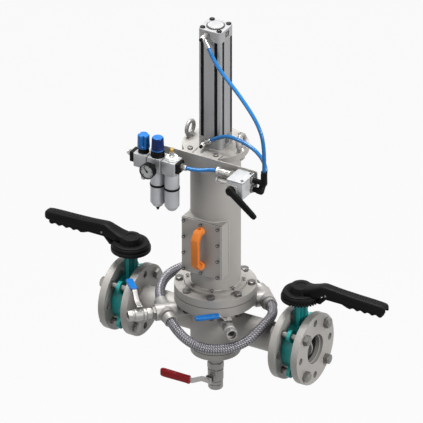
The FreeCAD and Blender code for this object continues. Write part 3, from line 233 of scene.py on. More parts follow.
hexagons = new_group("hexagon fasteners", corner=10.0, height=7.0, shank=6.0, below=0.0, above=-1.0, seed=1)
tree, names, given = hexagons
flat = calc(tree, "MULTIPLY", given["corner"], 0.83)
slope = calc(tree, "MULTIPLY_ADD", given["height"], 1.732, flat)
crown = cone(tree, 48, slope, flat, given["height"])
face = cone(tree, 48, flat, flat, calc(tree, "MULTIPLY", given["height"], 0.07))
base = calc(tree, "MULTIPLY", given["height"], 0.06)
bar = cone(tree, 6, given["corner"], given["corner"], given["height"], base)
tall = calc(tree, "ADD", calc(tree, "ADD", given["height"], given["above"]), given["below"])
thread = cone(tree, 24, given["shank"], given["shank"], tall, calc(tree, "MULTIPLY", given["below"], -1.0))
fastener = gathered(tree, boolean(tree, "INTERSECT", bar, crown), face, thread)
chance = put(tree, "FunctionNodeRandomValue", {2: 0.0, 3: 1.047, 8: given["seed"]}, data_type="FLOAT")[1]
facing = put(tree, "ShaderNodeCombineXYZ", {"Z": chance})[0]
repeated(tree, given, fastener, Rotation=facing)


def hexes(name, replaced, places, place, flats, height, diameter, below=0.0, above=-1.0, seed=1,
          finish=bolt_steel):
    return grown(name, "frame", replaced, hexagons, places, place, finish, corner=flats / math.sqrt(3),
                 height=height, shank=diameter / 2, below=below, above=above, seed=seed)


screw_steel = surface("screw steel", (0.11, 0.105, 0.10), (0.20, 0.195, 0.19), (0.25, 0.4), metallic=0.85,
                      scale=70)
half_step = 22.5
cover_places = ring(8, 90.0, half_step)
cover_flange_top = 112
vessel_flange_under = 66
hexes("cover_bolt_heads", "vessel_flange_bolts", cover_places, laid(z=cover_flange_top), flats=18.6,
      height=7.8, diameter=12.0, below=46.0, seed=3, finish=screw_steel)
hexes("cover_bolt_nuts", "vessel_flange_bolts", cover_places, laid(z=vessel_flange_under, z_axis=(0, 0, -1)),
      flats=18.6, height=9.6, diameter=12.0, above=4.0, seed=4, finish=screw_steel)

# Pipeline bolts: four M16 bolts at each butterfly valve, put in from the vessel's
# side, with the nuts on the outer flange. They pass the ears of the valve body.
clamp_places = ring(4, 72.5, 45)
flange_back = 201.0


def lengthwise(x, y=0.0, z=0.0, way=1):
    """A place that faces along the pipeline."""
    return laid(x, y, z, z_axis=(way, 0, 0), x_axis=(0, 0, 1))


stations = ((-1.0, "inlet"), (1.0, "outlet"))
for side, station in stations:
    hexes(station + "_bolt_heads", "pipeline_bolts", clamp_places, lengthwise(side * flange_back, way=-side),
          flats=24.0, height=10.4, diameter=16.0, below=80.0, seed=5)
    hexes(station + "_bolt_nuts", "pipeline_bolts", clamp_places, lengthwise(side * inlet_face, way=side),
          flats=24.0, height=12.8, diameter=16.0, above=1.0, seed=8)

# Top cover bolts: four M8 through the cover and the column's ring. The front two
# also hold the bracket's tabs. The two eye bolts share their circle.
cover_bolts = ring(6, 72.0)
column_ring_under = 487
lid_top = 503
bracket_top = 506
back_bolts = cover_bolts[1:3]
front_bolts = cover_bolts[4:]
hexes("lid_bolt_heads", "column_bolts", back_bolts, laid(z=lid_top), flats=12.4, height=5.2, diameter=8.0,
      below=16.0)
hexes("bracket_bolt_heads", "column_bolts", front_bolts, laid(z=bracket_top), flats=12.4, height=5.2,
      diameter=8.0, below=19.0)
hexes("lid_bolt_nuts", "column_bolts", back_bolts + front_bolts,
      laid(z=column_ring_under, z_axis=(0, 0, -1)), flats=12.4, height=6.4, diameter=8.0, above=2.0)

# Socket screws of the column's base ring, the hatch and the air cylinder. Turned
# heads with a hexagon socket, the edge of the crown eased, blackened and oiled.
blackened = surface("blackened steel", (0.030, 0.030, 0.031), (0.075, 0.074, 0.073), (0.28, 0.42),
                    metallic=0.6, scale=70)
sockets = new_group("socket screws", head=5.0, height=5.0, flats=4.0, shank=2.5, below=0.0)
tree, names, given = sockets
lower = calc(tree, "MULTIPLY", given["height"], 0.88)
eased = calc(tree, "MULTIPLY", given["head"], 0.90)
wall = cone(tree, 40, given["head"], given["head"], lower)
rim = cone(tree, 40, given["head"], eased, calc(tree, "MULTIPLY", given["height"], 0.12), lower)
deep = calc(tree, "MULTIPLY", given["height"], 0.5)
corner = calc(tree, "MULTIPLY", given["flats"], 0.577)
key = cone(tree, 6, corner, corner, given["height"], deep)
head = boolean(tree, "DIFFERENCE", boolean(tree, "UNION", wall, rim), key)
sunk = calc(tree, "MULTIPLY", given["below"], -1.0)
stem = cone(tree, 20, given["shank"], given["shank"], given["below"], sunk)
repeated(tree, given, gathered(tree, head, stem))


def forward(x, y, z):
    """A place that faces the front."""
    return laid(x, y, z, z_axis=(0, -1, 0))


def screws(name, replaced, places, place, size, below=0.0):
    return grown(name, "frame", replaced, sockets, places, place, blackened, head=0.8 * size, height=size,
                 flats=0.8 * size, shank=size / 2, below=below)


hatch_middle = 239.0
cover_face = -71.0
hatch_rows = [hatch_middle + 45.0 * (i - 1.5) for i in range(4)]
hatch_places = [(x, z, 0) for x in (-48.0, 48.0) for z in hatch_rows]
hatch_places += [(0, z, 0) for z in hatch_rows[::3]]
base_ring_top = 120
screws("base_ring_screws", "column_bolts", ring(8, 70.0, half_step), laid(z=base_ring_top), size=6.0,
       below=20.0)
screws("hatch_cover_screws", "hatch_screws", hatch_places, forward(0, cover_face, 0), size=6.0, below=10.0)

# Weld beads, laid by hand with a filler rod: each puddle freezes as a scale that
# lies on the one before it. They join the pipes, flanges, rings and hatch box.
beads = new_group("weld bead", pitch=1.9, puddle=2.1, seed=2)
tree, names, given = beads
line = put(tree, "GeometryNodeMeshToCurve", {0: given["places"]})[0]
even = put(tree, "GeometryNodeResampleCurve", {"Curve": line, "Length": given["pitch"]}, mode="LENGTH")[0]
puddle = put(tree, "GeometryNodeMeshUVSphere", {"Segments": 10, "Rings": 6, "Radius": given["puddle"]})[0]
along = put(tree, "GeometryNodeInputTangent")[0]
lie = put(tree, "FunctionNodeAlignRotationToVector", {"Vector": along}, axis="Z")[0]
size = put(tree, "FunctionNodeRandomValue", {2: 0.86, 3: 1.06, 8: given["seed"]}, data_type="FLOAT")[1]
grow = put(tree, "ShaderNodeCombineXYZ", {"X": size, "Y": size, "Z": calc(tree, "MULTIPLY", size, 0.75)})[0]
repeated(tree, given, puddle, even, Rotation=lie, Scale=grow)
weld_steel = surface("brushed weld", (0.30, 0.285, 0.265), (0.40, 0.385, 0.36), (0.35, 0.5), metallic=0.8,
                     scale=200, bump=0.3)


def loop(place, at_turn, steps=96):
    """A closed line given by a function of the turn."""
    return [place @ Vector(at_turn(a)) for a in turns(steps)], [(i, (i + 1) % steps) for i in range(steps)]


def circle(radius):
    return lambda a: polar(radius, a)


def saddle(pipe, drum):
    """Where a pipe along Z meets the drum whose axis crosses it."""
    return lambda a: polar(pipe, a, math.sqrt(drum ** 2 - (pipe * math.sin(a)) ** 2))


shell_radius = 62.5
pipe_radius = 38.05
stub_radius = 16.85
branch_height = 45.0
bead_rise = 0.6
bead_heights = (base_ring_top + bead_rise, column_ring_under - bead_rise, vessel_flange_under - bead_rise)
lines = [loop(laid(z=z), circle(shell_radius)) for z in bead_heights]
for side in (-1, 1):
    lines.append(loop(lengthwise(side * (flange_back - bead_rise), way=side), circle(pipe_radius)))
    lines.append(loop(lengthwise(0, way=side), saddle(pipe_radius, shell_radius)))
for angle in (45, 225, 315):
    branch = laid(z=branch_height, z_axis=polar(1, math.radians(angle)), x_axis=(0, 0, 1))
    lines.append(loop(branch, saddle(stub_radius, shell_radius)))
box_half = 55.0
box_ends = (164, 314)
for z in box_ends:
    arc = [vessel(x, -math.sqrt(shell_radius ** 2 - x ** 2), z) for x in range(-55, 56, 5)]
    lines.append((arc, [(i, i + 1) for i in range(len(arc) - 1)]))
for side in (-1, 1):
    y = -math.sqrt(shell_radius ** 2 - box_half ** 2)
    lines.append(([vessel(side * box_half, y, z) for z in box_ends], [(0, 1)]))
points = []
edges = []
for corners, pairs in lines:
    edges += [(a + len(points), b + len(points)) for a, b in pairs]
    points += [tuple(c * 1000) for c in corners]
grown("weld_beads", "frame", None, beads, points, Matrix.Scale(0.001, 4), weld_steel, edges, pitch=1.9,
      puddle=1.9, seed=2)

# Butterfly valve bodies: grey iron cast in sand and dipped in teal enamel, which
# keeps the sand's texture. The lighter teal on the edges is a painted highlight. Clamped between flanges.
teal = surface("teal enamel", (0.001, 0.12, 0.12), (0.002, 0.165, 0.16), (0.25, 0.40), scale=35, bump=0.45,
               grain=260, soft=0.8, edge_highlight=(0.015, 0.32, 0.30), shine=0.3)
paint(teal, "butterfly_bodies")

# Valve levers: glass filled nylon, moulded with ribs between the hub and its rim,
# and sitting on the stem's square. The arm is a channel that hides the trigger.
# The lighter grey on the nylon's sharp edges is a painted highlight.
black = surface("black nylon", (0.0015, 0.0015, 0.0015), (0.004, 0.004, 0.004), (0.42, 0.58), scale=60,
                bump=0.3, grain=700, edge_highlight=(0.010, 0.010, 0.010), shine=0.07)
paint(black, "notch_plates", "gauge_needle")


def as_mesh(bm, mesh=None):
    mesh = mesh or bpy.data.meshes.new("shape")
    bm.to_mesh(mesh)
    bm.free()
    return mesh


def mesh_of(bm, soft=0.0, sharp=30.0):
    """Turns a drawing into a mesh, its sharp edges rounded by soft millimetres."""
    bmesh.ops.remove_doubles(bm, verts=bm.verts, dist=0.001)
    bmesh.ops.recalc_face_normals(bm, faces=bm.faces)
    if soft:
        keen = [e for e in bm.edges if len(e.link_faces) == 2 and e.calc_face_angle() > math.radians(sharp)]
        bmesh.ops.bevel(bm, geom=keen, offset=soft, segments=2, profile=0.6, affect="EDGES",
                        clamp_overlap=True)
    bmesh.ops.triangulate(bm, faces=[f for f in bm.faces if len(f.verts) > 4])
    return as_mesh(bm)


def lofted(rings_of_points, place=None, soft=0.0, closed=False):
    """A skin over rings of the same number of points, with its ends capped unless it is closed."""
    bm = bmesh.new()
    rows = [[bm.verts.new(p) for p in points] for points in rings_of_points]
    count = len(rows[0])
    pairs = list(zip(rows, rows[1:] + (rows[:1] if closed else [])))
    for a, b in pairs:
        for i in range(count):
            bm.faces.new((a[i], a[(i + 1) % count], b[(i + 1) % count], b[i]))
    if not closed:
        bm.faces.new(rows[0][::-1])
        bm.faces.new(rows[-1])
    mesh = mesh_of(bm, soft)
    if place:
        mesh.transform(place)
    return mesh


def spun(outline, place, sides=56, hollow=False):
    """A turned shape from radii and heights, starting and ending on the axis unless it is hollow."""
    rows = [[polar(max(r, 0.01), a, h) for a in turns(sides)] for r, h in outline]
    return lofted(rows, place, closed=hollow)


def slab(outline, low, high, place, soft=0.8):
    """A plate with this outline in X and Y, from one height to another, its edges rounded."""
    return lofted([[(x, y, z) for x, y in outline] for z in (low, high)], place, soft)


def rounded(width, depth, corner, steps=4):
    """A rectangle about the origin with round corners."""
    points = []
    for turn, (sx, sy) in enumerate(((1, 1), (-1, 1), (-1, -1), (1, -1))):
        for i in range(steps + 1):
            x, y, _ = polar(corner, math.pi / 2 * (turn + i / steps))
            points.append((sx * (width / 2 - corner) + x, sy * (depth / 2 - corner) + y))
    return points


def piece(name, body, replaced, *parts):
    """One object from meshes and their materials, given in turn."""
    bm = bmesh.new()
    mesh = bpy.data.meshes.new(name)
    for number, (part, material) in enumerate(zip(parts[::2], parts[1::2])):
        start = len(bm.faces)
        bm.from_mesh(part)
        bm.faces.ensure_lookup_table()
        for f in bm.faces[start:]:
            f.material_index = number
        mesh.materials.append(material)
    return settled(added(name, as_mesh(bm, mesh)), mesh, body, replaced)


def arm_ring(u, low, high, half):
    """A cross-section of the arm: a channel open below, its top edges chamfered."""
    wall = 4.5
    roof = max(low + 1.0, high - 6.0)
    ease = min(5.0, half / 3)
    outer = [(half, low), (half, high - ease), (half - ease * 0.35, high - ease * 0.35), (half - ease, high)]
    inner = [(half - wall, low), (half - wall, roof)]
    right_side = outer + [(0, high + 0.6)]
    loop_points = right_side + [(-v, z) for v, z in reversed(outer)] + [(-v, z) for v, z in inner]
    loop_points += [(0, roof)] + inner[::-1]
    return [(u, v, z) for v, z in loop_points]


arm_stations = [(14, 155, 171.6, 21), (30, 156, 175, 20), (46, 157, 181, 18), (60, 160, 187.5, 16),
                (68, 162.5, 189.6, 15), (78, 163.5, 189.3, 14.2), (100, 163.2, 187.5, 13.6),
                (118, 162.6, 186, 14), (160, 161.5, 184, 14.6), (200, 160.6, 182.8, 15),
                (226, 160, 181.6, 15), (236, 160.4, 180.4, 13.8), (241, 163.5, 177.5, 10.5)]
hub_outline = [(0, 142.6), (46.4, 142.6), (47, 143.4), (47, 150), (46.2, 151.4), (44.6, 152), (44.2, 155.4),
               (42.6, 156.2), (34, 156.2), (33, 155), (29, 155), (28.4, 156.4), (26, 168.6), (24.4, 171),
               (22, 171.9), (12.4, 171.9), (11.6, 170.6), (0, 170.6)]
ribs = new_group("moulded ribs", long=10.0, wide=1.4, high=2.0)
tree, names, given = ribs
rib_size = put(tree, "ShaderNodeCombineXYZ", {"X": given["long"], "Y": given["wide"], "Z": given["high"]})[0]
rib = put(tree, "GeometryNodeMeshCube", {"Size": rib_size})[0]
outward = put(tree, "GeometryNodeInputPosition")[0]
bearing = put(tree, "FunctionNodeAlignRotationToVector", {"Vector": outward}, axis="X", pivot_axis="Z")[0]
repeated(tree, given, rib, Rotation=bearing)
grip_pitch = 8.0
valve_reach = 242.0
for side, station in stations:
    place = laid(side * valve_reach, x_axis=(side, 0, 0))
    lever = station + "_lever"
    body = station + "_valve"
    rings = [arm_ring(*s) for s in arm_stations]
    piece(lever + "_look", body, lever, spun(hub_outline, place, 72), black, lofted(rings, place, 0.7), black)
    grown(lever + "_hub_ribs", body, None, ribs, ring(16, 30.5, 11.25, 155.0), place, black, long=7.0,
          wide=1.5, high=2.4)
    grips = [(116 + grip_pitch * i, 0.001, 185.6 - 0.036 * grip_pitch * i) for i in range(14)]
    grown(lever + "_grip_ribs", body, None, ribs, grips, place, black, long=2.6, wide=16.0, high=2.2)

# Triggers: nylon levers squeezed against the arm, which lift a pawl out of the
# notched plate. Each turns on a steel pin through the arm's walls.
finger_pitch = 21.0
grooves = []
for i in range(33):
    u = 140.0 + 84.0 * i / 32
    grooves.append((u, 147.2 - 2.2 * math.cos(2 * math.pi * (u - 140.0) / finger_pitch)))
trigger = [(50.8, 134.6), (58, 134.6), (74, 152), (118, 152), (132, 146.6)] + grooves
trigger += [(229, 146.4), (231, 149), (231, 159.6), (118, 161.6), (84, 171.4), (68, 171.4), (66, 156),
            (50.8, 143)]
pin = [(0, -14.9), (2.6, -14.9), (3.1, -14.4), (3.1, 14.4), (2.6, 14.9), (0, 14.9)]
on_edge = Matrix.Rotation(math.pi / 2, 4, "X")
for side, station in stations:
    place = laid(side * valve_reach, x_axis=(side, 0, 0))
    piece(station + "_trigger_look", station + "_grip", station + "_trigger",
          slab(trigger, -7.3, 7.3, place @ on_edge, soft=1.2), black)
    pin_place = place @ Matrix.Translation((76, 0, 166.5)) @ on_edge
    piece(station + "_trigger_pin", station + "_valve", None, spun(pin, pin_place, 24), screw_steel)

# Hatch handle: a bridge moulded in orange polyamide with a fine spark finish. Its
# two round feet are screwed to the hatch cover from behind.
# The pale orange on the handle's sharp edges is a painted highlight.
orange = surface("orange moulding", (0.33, 0.044, 0.001), (0.42, 0.062, 0.002), (0.35, 0.5), scale=45,
                 bump=0.3, soft=1.0, edge_highlight=(0.78, 0.24, 0.04), shine=0.2)
handle_place = forward(0, cover_face, 241.4)
outer_bow = [(54.2, 0.3), (54.2, 8), (54.0, 15.5), (51.0, 21.5), (37.5, 32.2), (34.0, 34.0)]
inner_bow = [(42.4, 0.3), (42.4, 8), (42.0, 12.5), (40.4, 15.0), (30.6, 22.8), (28.6, 23.6)]
half_bow = list(zip(outer_bow, inner_bow))
bow_rings = []
for side in (1, -1):
    for (outer_y, outer_h), (inner_y, inner_h) in half_bow[::side]:
        out = Vector((0, side * outer_y, outer_h))
        into = Vector((0, side * inner_y, inner_h))
        across = (out - into) / 2
        centre = (out + into) / 2
        rim = rounded(20.0, 2 * across.length, 0.5, 1)
        direction = across.normalized()
        bow_rings.append([centre + Vector((x, 0, 0)) + direction * y for x, y in rim])
feet = []
for side in (-1, 1):
    foot = [(0, 0), (9.6, 0), (10, 0.5), (10, 6.4), (9.2, 7.4), (0, 7.4)]
    feet += [spun(foot, handle_place @ Matrix.Translation((0, side * 48.35, 0)), 48), orange]
piece("hatch_handle_look", "frame", "hatch_handle", lofted(bow_rings, handle_place), orange, *feet)

# Ball valve levers: stainless strip bent in two places and dipped in vinyl, with
# a nut on the stem. The big one under the vessel is red, the small ones blue.
lever_steel = surface("stamped strip", (0.34, 0.33, 0.32), (0.44, 0.43, 0.415), (0.28, 0.40), metallic=0.7,
                      scale=40)
red = surface("red vinyl", (0.26, 0.001, 0.004), (0.36, 0.003, 0.007), (0.25, 0.36), scale=40, bump=0.12,
              soft=1.0, shine=0.2)
blue_vinyl = surface("blue vinyl", (0.004, 0.095, 0.30), (0.008, 0.13, 0.40), (0.25, 0.36), scale=40,
                     bump=0.12, soft=1.0, shine=0.25)


def turned_ball(place, middle, bore, top):
    """The ball with its way through along Y, and the stem that turns it."""
    radius = 1.35 * bore
    reach = math.sqrt(radius ** 2 - bore ** 2)
    arc = [polar(radius, math.radians(t))[:2] for t in range(-40, 41, 10)]
    arc = [(bore, -reach)] + arc + [(bore, reach)]
    centre = place @ Matrix.Translation((middle, 0, 0))
    ball = bmesh.new()
    ball.from_mesh(spun(arc, centre @ Matrix.Rotation(math.pi / 2, 4, "X"), 48, hollow=True))
    stem = bore * 0.42
    ball.from_mesh(spun([(0, radius * 0.9), (stem, radius * 0.9), (stem, top), (0, top)], centre, 24))
    return as_mesh(ball)


def ball_lever(name, node, place, middle, bore, stem, reach, rise, grip_from, grip_width, vinyl):
    """Strip from the stem to the grip, dipped sleeve, the stem's nut and the ball inside."""
    thick = 2.5
    half = grip_width * 0.31
    start = reach * grip_from
    first = start * 0.45
    second = start * 0.85
    line = [(half * 1.3, stem), (-first, stem), (-second, stem + rise), (-start - 8, stem + rise)]
    strip = []
    for y, z in line:
        w = half * (1.15 if y > -first else 1.0)
        strip.append([(middle - w, y, z), (middle + w, y, z), (middle + w, y, z + thick),
                      (middle - w, y, z + thick)])
    depth = grip_width * 0.5
    height = stem + rise + thick / 2
    sleeve = []
    for share, wide, tall in ((0.0, 0.80, 0.72), (0.015, 0.94, 0.92), (0.05, 1.0, 1.0), (0.12, 0.95, 0.94),
                              (0.5, 0.97, 0.96), (0.86, 1.0, 1.0), (0.95, 0.94, 0.92), (0.985, 0.78, 0.72),
                              (1.0, 0.5, 0.4)):
        y = -start - (reach - start) * share
        corner = min(wide * grip_width, tall * depth) * 0.42
        outline = rounded(wide * grip_width, tall * depth, corner)
        sleeve.append([(middle + x, y, height + z) for x, z in outline])
    nut_place = place @ Matrix.Translation((middle, 0, stem + thick))
    nut = [(0, 0), (half * 0.92, 0), (half * 0.92, 2.6), (half * 0.8, 3.4), (half * 0.42, 3.4),
           (half * 0.42, 3.6), (0, 3.6)]
    return piece(name + "_look", name.replace("_lever", ""), node, lofted(strip, place, 0.6), lever_steel,
                 lofted(sleeve, place), vinyl, spun(nut, nut_place, 6), lever_steel,
                 turned_ball(place, middle, bore, stem + 0.5), bright)


def beside(angle):
    return laid(z=branch_height, x_axis=polar(1, math.radians(angle)))


under = laid(z=-80, z_axis=(0, -1, 0), x_axis=(0, 0, -1))
ball_lever("drain_valve_lever", "drain_valve_lever", under, middle=73.0, bore=12.5, stem=36.0, reach=124.0,
           rise=20.0, grip_from=0.32, grip_width=23.5, vinyl=red)
ball_lever("flush_valve_lever", "flush_valve_lever", beside(225), middle=194.5, bore=9.0, stem=25.0,
           reach=100.0, rise=18.0, grip_from=0.5, grip_width=19.0, vinyl=blue_vinyl)
ball_lever("sample_valve_lever", "sample_valve_lever", beside(315), middle=121.0, bore=9.0, stem=25.0,
           reach=85.0, rise=13.0, grip_from=0.28, grip_width=19.0, vinyl=blue_vinyl)


# Ball valve bodies: stainless investment castings, with a turned cap screwed into
# one end, hexagons for the spanner, and a gland nut that presses on the stem.
drain_rings = [(0, 17.4), (30, 17.4), (31, 16.6), (36, 16.6), (36, 18.6, 37), (37.4, 20.6, 37),
               (51.6, 20.6, 37), (53, 18.8, 37), (53.2, 17.6), (54.4, 17.6), (55, 19.2), (55.8, 19.75),
               (84, 19.75), (85, 19.2), (85.2, 17.0), (86.4, 17.0), (86.8, 18.2), (87.4, 18.6), (95.4, 18.6),
               (96, 17.2), (96.6, 16.4), (97, 16.4), (97.4, 18.6, 34.5), (108.2, 18.6, 34.5),
               (110, 16.8, 34.5)]


def way_ring(x, radius, flats=0.0):
    """A ring across the valve's way: round, or a hexagon no wider than the radius."""
    points = []
    for a in turns(60):
        r = radius
        if flats:
            r = min(radius, flats / 2 / math.cos((a + math.pi / 6) % (math.pi / 3) - math.pi / 6))
        points.append((x, r * math.cos(a), r * math.sin(a)))
    return points


def valve_body(name, place, outside, middle, bore, stem_height):
    """The casting from its outside rings, bored for the ball, with its boss and gland nut."""
    start = outside[0][0]
    finish = outside[-1][0]
    pocket = 1.35 * bore + 0.4
    open_at = math.sqrt(pocket ** 2 - bore ** 2)
    inside = [(finish, bore + 2.0), (finish - 9.0, bore + 2.0), (finish - 9.5, bore)]
    for i in range(13):
        x = open_at * (1 - i / 6)
        inside.append((middle + x, math.sqrt(pocket ** 2 - x ** 2)))
    inside.append((start, bore))
    rings = [way_ring(*r) for r in outside] + [way_ring(x, r) for x, r in inside]
    wide = bore * 0.8
    low = outside[len(outside) // 2][1] - 1.5
    seat = stem_height * 0.72
    boss = [(bore * 0.43, low), (wide + 1.2, low), (wide + 1.0, low + 2.5), (wide, low + 3.2),
            (wide, seat - 1.6), (wide - 1.0, seat), (bore * 0.43, seat)]
    corner = bore * 1.76 / math.sqrt(3)
    nut = [(bore * 0.43, seat), (corner * 0.92, seat), (corner, seat + 0.5), (corner, seat + 3.4),
           (corner * 0.92, seat + 4.0), (bore * 0.43, seat + 4.0)]
    across = place @ Matrix.Translation((middle, 0, 0))
    return piece(name + "_look", "frame", name, lofted(rings, place, closed=True), bright,
                 spun(boss, across, 40, hollow=True), bright, spun(nut, across, 6, hollow=True), screw_steel)


valve_body("drain_valve_body", under, drain_rings, middle=73.0, bore=12.5, stem_height=36.0)
for name, angle, start, finish in (("flush", 225, 165.0, 224.0), ("sample", 315, 86.0, 156.0)):
    long = finish - start
    shares = [(0, 13.2, 27), (0.02, 15, 27), (0.17, 15, 27), (0.19, 13.6, 27), (0.192, 11.8), (0.215, 11.8),
              (0.22, 14.2), (0.23, 14.6), (0.33, 14.6), (0.34, 14.2), (0.342, 12.4), (0.375, 12.4),
              (0.38, 14.6), (0.39, 15), (0.70, 15), (0.71, 14.4), (0.74, 12.6), (0.78, 12.2),
              (0.785, 13.4, 27), (0.80, 15, 27), (0.98, 15, 27), (1.0, 13.4, 27)]
    small_rings = [(start + long * s[0], *s[1:]) for s in shares]
    valve_body(name + "_valve_body", beside(angle), small_rings, middle=(start + finish) / 2, bore=9.0,
               stem_height=25.0)
union = [(13.2, 150.5), (16.2, 150.5), (17.4, 151.4), (17.4, 161.6), (16.2, 162.5), (13.2, 162.5)]
beside_flush = laid(z=branch_height, z_axis=(-1, -1, 0), x_axis=(0, 0, 1))
piece("flush_union_nut", "frame", None, spun(union, beside_flush, 6, hollow=True), screw_steel)

# Air cylinder: a square barrel extruded in aluminium and anodised, so that its
# colour runs in faint streaks along it. Black plastic strips close the grooves, and
# their black is also painted shade for the depth of the grooves.
anodised = surface("anodised aluminium", (0.26, 0.26, 0.265), (0.33, 0.33, 0.335), (0.32, 0.44),
                   metallic=0.6, scale=40, stretch=(1, 1, 0.03), bump=0.15)
cast = surface("cast aluminium", (0.27, 0.27, 0.275), (0.34, 0.34, 0.345), (0.38, 0.52), metallic=0.4,
               scale=60, bump=0.3, grain=700)
paint(anodised, "cylinder_barrel")
paint(cast, "cylinder_end_caps")
groove_place = 19.0
groove_covers_and_shade = []
for quarter in range(4):
    barrel_side = laid() @ Matrix.Rotation(quarter * math.pi / 2, 4, "Z")
    for side in (-1, 1):
        outline = [(28.2, side * groove_place - 4.3), (31.4, side * groove_place - 4.3),
                   (31.4, side * groove_place + 4.3), (28.2, side * groove_place + 4.3)]
        # Painted shade in part: the black strips fill the grooves where shade would lie.
        groove_covers_and_shade += [slab(outline, 533, 799, barrel_side, soft=0.5), black]
piece("barrel_groove_covers_and_shade", "frame", None, *groove_covers_and_shade)
# A black rubber wiper ring round the rod collar; its black is also painted shade for the collar's side.
wiper_and_shade = [(20.2, 829.0), (20.2, 830.6), (20.8, 831.0), (22.6, 831.0), (23.0, 830.6), (23.0, 829.0)]
piece("collar_seal_and_shade", "frame", None, spun(wiper_and_shade, laid(), 64, hollow=True), rubber)
# These screws sit in wells at the end cap's corners; their black finish is also painted shade for the wells.
grown("cylinder_screws", "frame", "column_bolts", sockets, ring(4, 32.88, 45), laid(z=826.8), black,
      head=6.8, height=5.0, flats=6.2, shank=3.3, below=20.0)
ports = {"lower": 517.25, "upper": 814.75}
single = [(0, 0, 0)]
for z in ports.values():
    hexes("port_plug_" + str(round(z)), None, single, lengthwise(28.6, 0, z), flats=9.5, height=3.6,
          diameter=4.0)

# Floor plate seam: the plate is let into the shell from below and welded all
# round. The seam was ground flush, and the heat left it dark.
seam_steel = surface("heat tinted seam", (0.03, 0.028, 0.026), (0.07, 0.06, 0.05), (0.4, 0.6), metallic=0.6,
                     scale=90)
seam = [(62.2, -66.0), (62.9, -65.6), (62.9, -64.6), (62.2, -64.2)]
piece("floor_seam", "frame", None, spun(seam, laid(), 96, hollow=True), seam_steel)

# Push-in fittings and flow controls: nickel plated brass with a hexagon to turn
# them in, and a collet that grips the hose. The throttle screws have black knobs.
nickel = surface("nickel plate", (0.30, 0.295, 0.285), (0.42, 0.415, 0.40), (0.20, 0.32), metallic=0.85,
                 scale=80)
white = surface("white moulding", (0.60, 0.60, 0.59), (0.68, 0.68, 0.67), (0.35, 0.5), scale=40)
port_x = -8
barrel_front = -32.5
banjo_middle = -45
for port, lean in (("upper", 29.0), ("lower", 128.0)):
    z = ports[port]
    out = laid(port_x, barrel_front, z, z_axis=(0, -1, 0), x_axis=(0, 0, 1))
    a = math.radians(lean)
    way = (math.sin(a), 0, -math.cos(a))
    arm = laid(port_x, banjo_middle, z, z_axis=way, x_axis=(0, 1, 0))
    banjo = [(0, 6), (6.4, 6), (7, 6.6), (7, 17.6), (6.4, 18.6), (4.6, 19.4), (0, 19.4)]
    elbow = [(0, 0), (5.4, 0), (5.4, 14), (6.2, 15), (6.2, 19.4), (6.6, 20), (6.6, 27.4), (6.0, 28),
             (5.1, 28), (5.1, 21), (0, 21)]
    dome = [(0, 19.4), (5.6, 19.4), (5.2, 21), (3.6, 22.2), (0, 22.2)]
    knob = []
    for h, r in ((22.2, 3.6), (22.6, 4.0), (28.4, 4.0), (29.0, 3.5)):
        knob.append([polar(r + 0.25 * math.cos(16 * t), t, h) for t in turns(96)])
    piece(port + "_flow_control", "frame", "flow_controls", spun(banjo, out, 40), nickel,
          spun(elbow, arm, 40), nickel, spun(dome, out, 40), white, lofted(knob, out), black)
    hexes(port + "_flow_nut", None, single, out, flats=17.0, height=6.0, diameter=11.0)

# Air treatment unit: three die cast blocks clamped in a row, the last with a
# white filling cap. Bright bowls hang below two of them.
grey_cast = surface("painted die casting", (0.30, 0.305, 0.31), (0.38, 0.385, 0.39), (0.32, 0.46),
                    metallic=0.35, scale=60, bump=0.35, grain=600)
paint(grey_cast, "service_clips")
bowl = surface("bowl guard", (0.42, 0.43, 0.45), (0.50, 0.51, 0.53), (0.30, 0.42), metallic=0.2, scale=30,
               stretch=(1, 1, 0.1))
paint(bowl, "service_bowls")
block_places = {"shutoff": -133.0, "filter": -93.0, "oiler": -53.0}
unit_y = -122.0
parts = []
for name, x in block_places.items():
    here = laid(x, unit_y)
    parts += [slab(rounded(37, 40, 3.2), 464, 500, here, soft=0.9), grey_cast]
    if name != "shutoff":
        neck = [(0, 459.5), (18.5, 459.5), (18.5, 462.6), (17.4, 464.2), (0, 464.2)]
        parts += [spun(neck, here), grey_cast]
cap_rings = []
for h, r in ((500, 15.6), (500.6, 16.8), (503.4, 16.8), (504.0, 15.8), (507.6, 15.2), (508.6, 14.2)):
    cap_rings.append([polar(r + 0.5 * math.cos(8 * t), t, h) for t in turns(96)])
parts += [lofted(cap_rings, laid(block_places["oiler"], unit_y)), white]
piece("service_blocks", "frame", "service_modules", *parts)

# Its black nylon parts: end plates, spring housing, shut-off collar, bowl rings
# and drain. The inlet plug and the silencer are plated and sintered metal.
black_parts = []
for low, high in ((-163.5, -151.5), (-34.5, -26.5)):
    plate = rounded(32, 28, 3.5)
    black_parts += [slab(plate, low, high, laid(0, unit_y, 485, z_axis=(1, 0, 0), x_axis=(0, 1, 0)),
                         soft=0.9), black]
housing = [(0, 500), (18, 500), (18, 503), (17.2, 504), (16.6, 509), (17.2, 509.6), (17.0, 511.4),
           (15.2, 512), (14.5, 516), (0, 516)]
collar = [(0, 500), (13.6, 500), (14, 500.6), (13.4, 509), (12.6, 512), (0, 512)]
sight = [(3.2, 509), (3.2, 519.6), (5.6, 519.6), (6.0, 519.2), (6.0, 512), (7.4, 511), (7.4, 509)]
drain = [(0, 349), (2.4, 349), (3.0, 350), (3.4, 353), (7.8, 360.5), (8.4, 362), (0, 362)]
bowl_end = [(0, 360), (9.6, 360), (10, 360.6), (10, 362), (0, 362)]
filter_here = laid(block_places["filter"], unit_y)
oiler_here = laid(block_places["oiler"], unit_y)
shutoff_here = laid(block_places["shutoff"], unit_y)
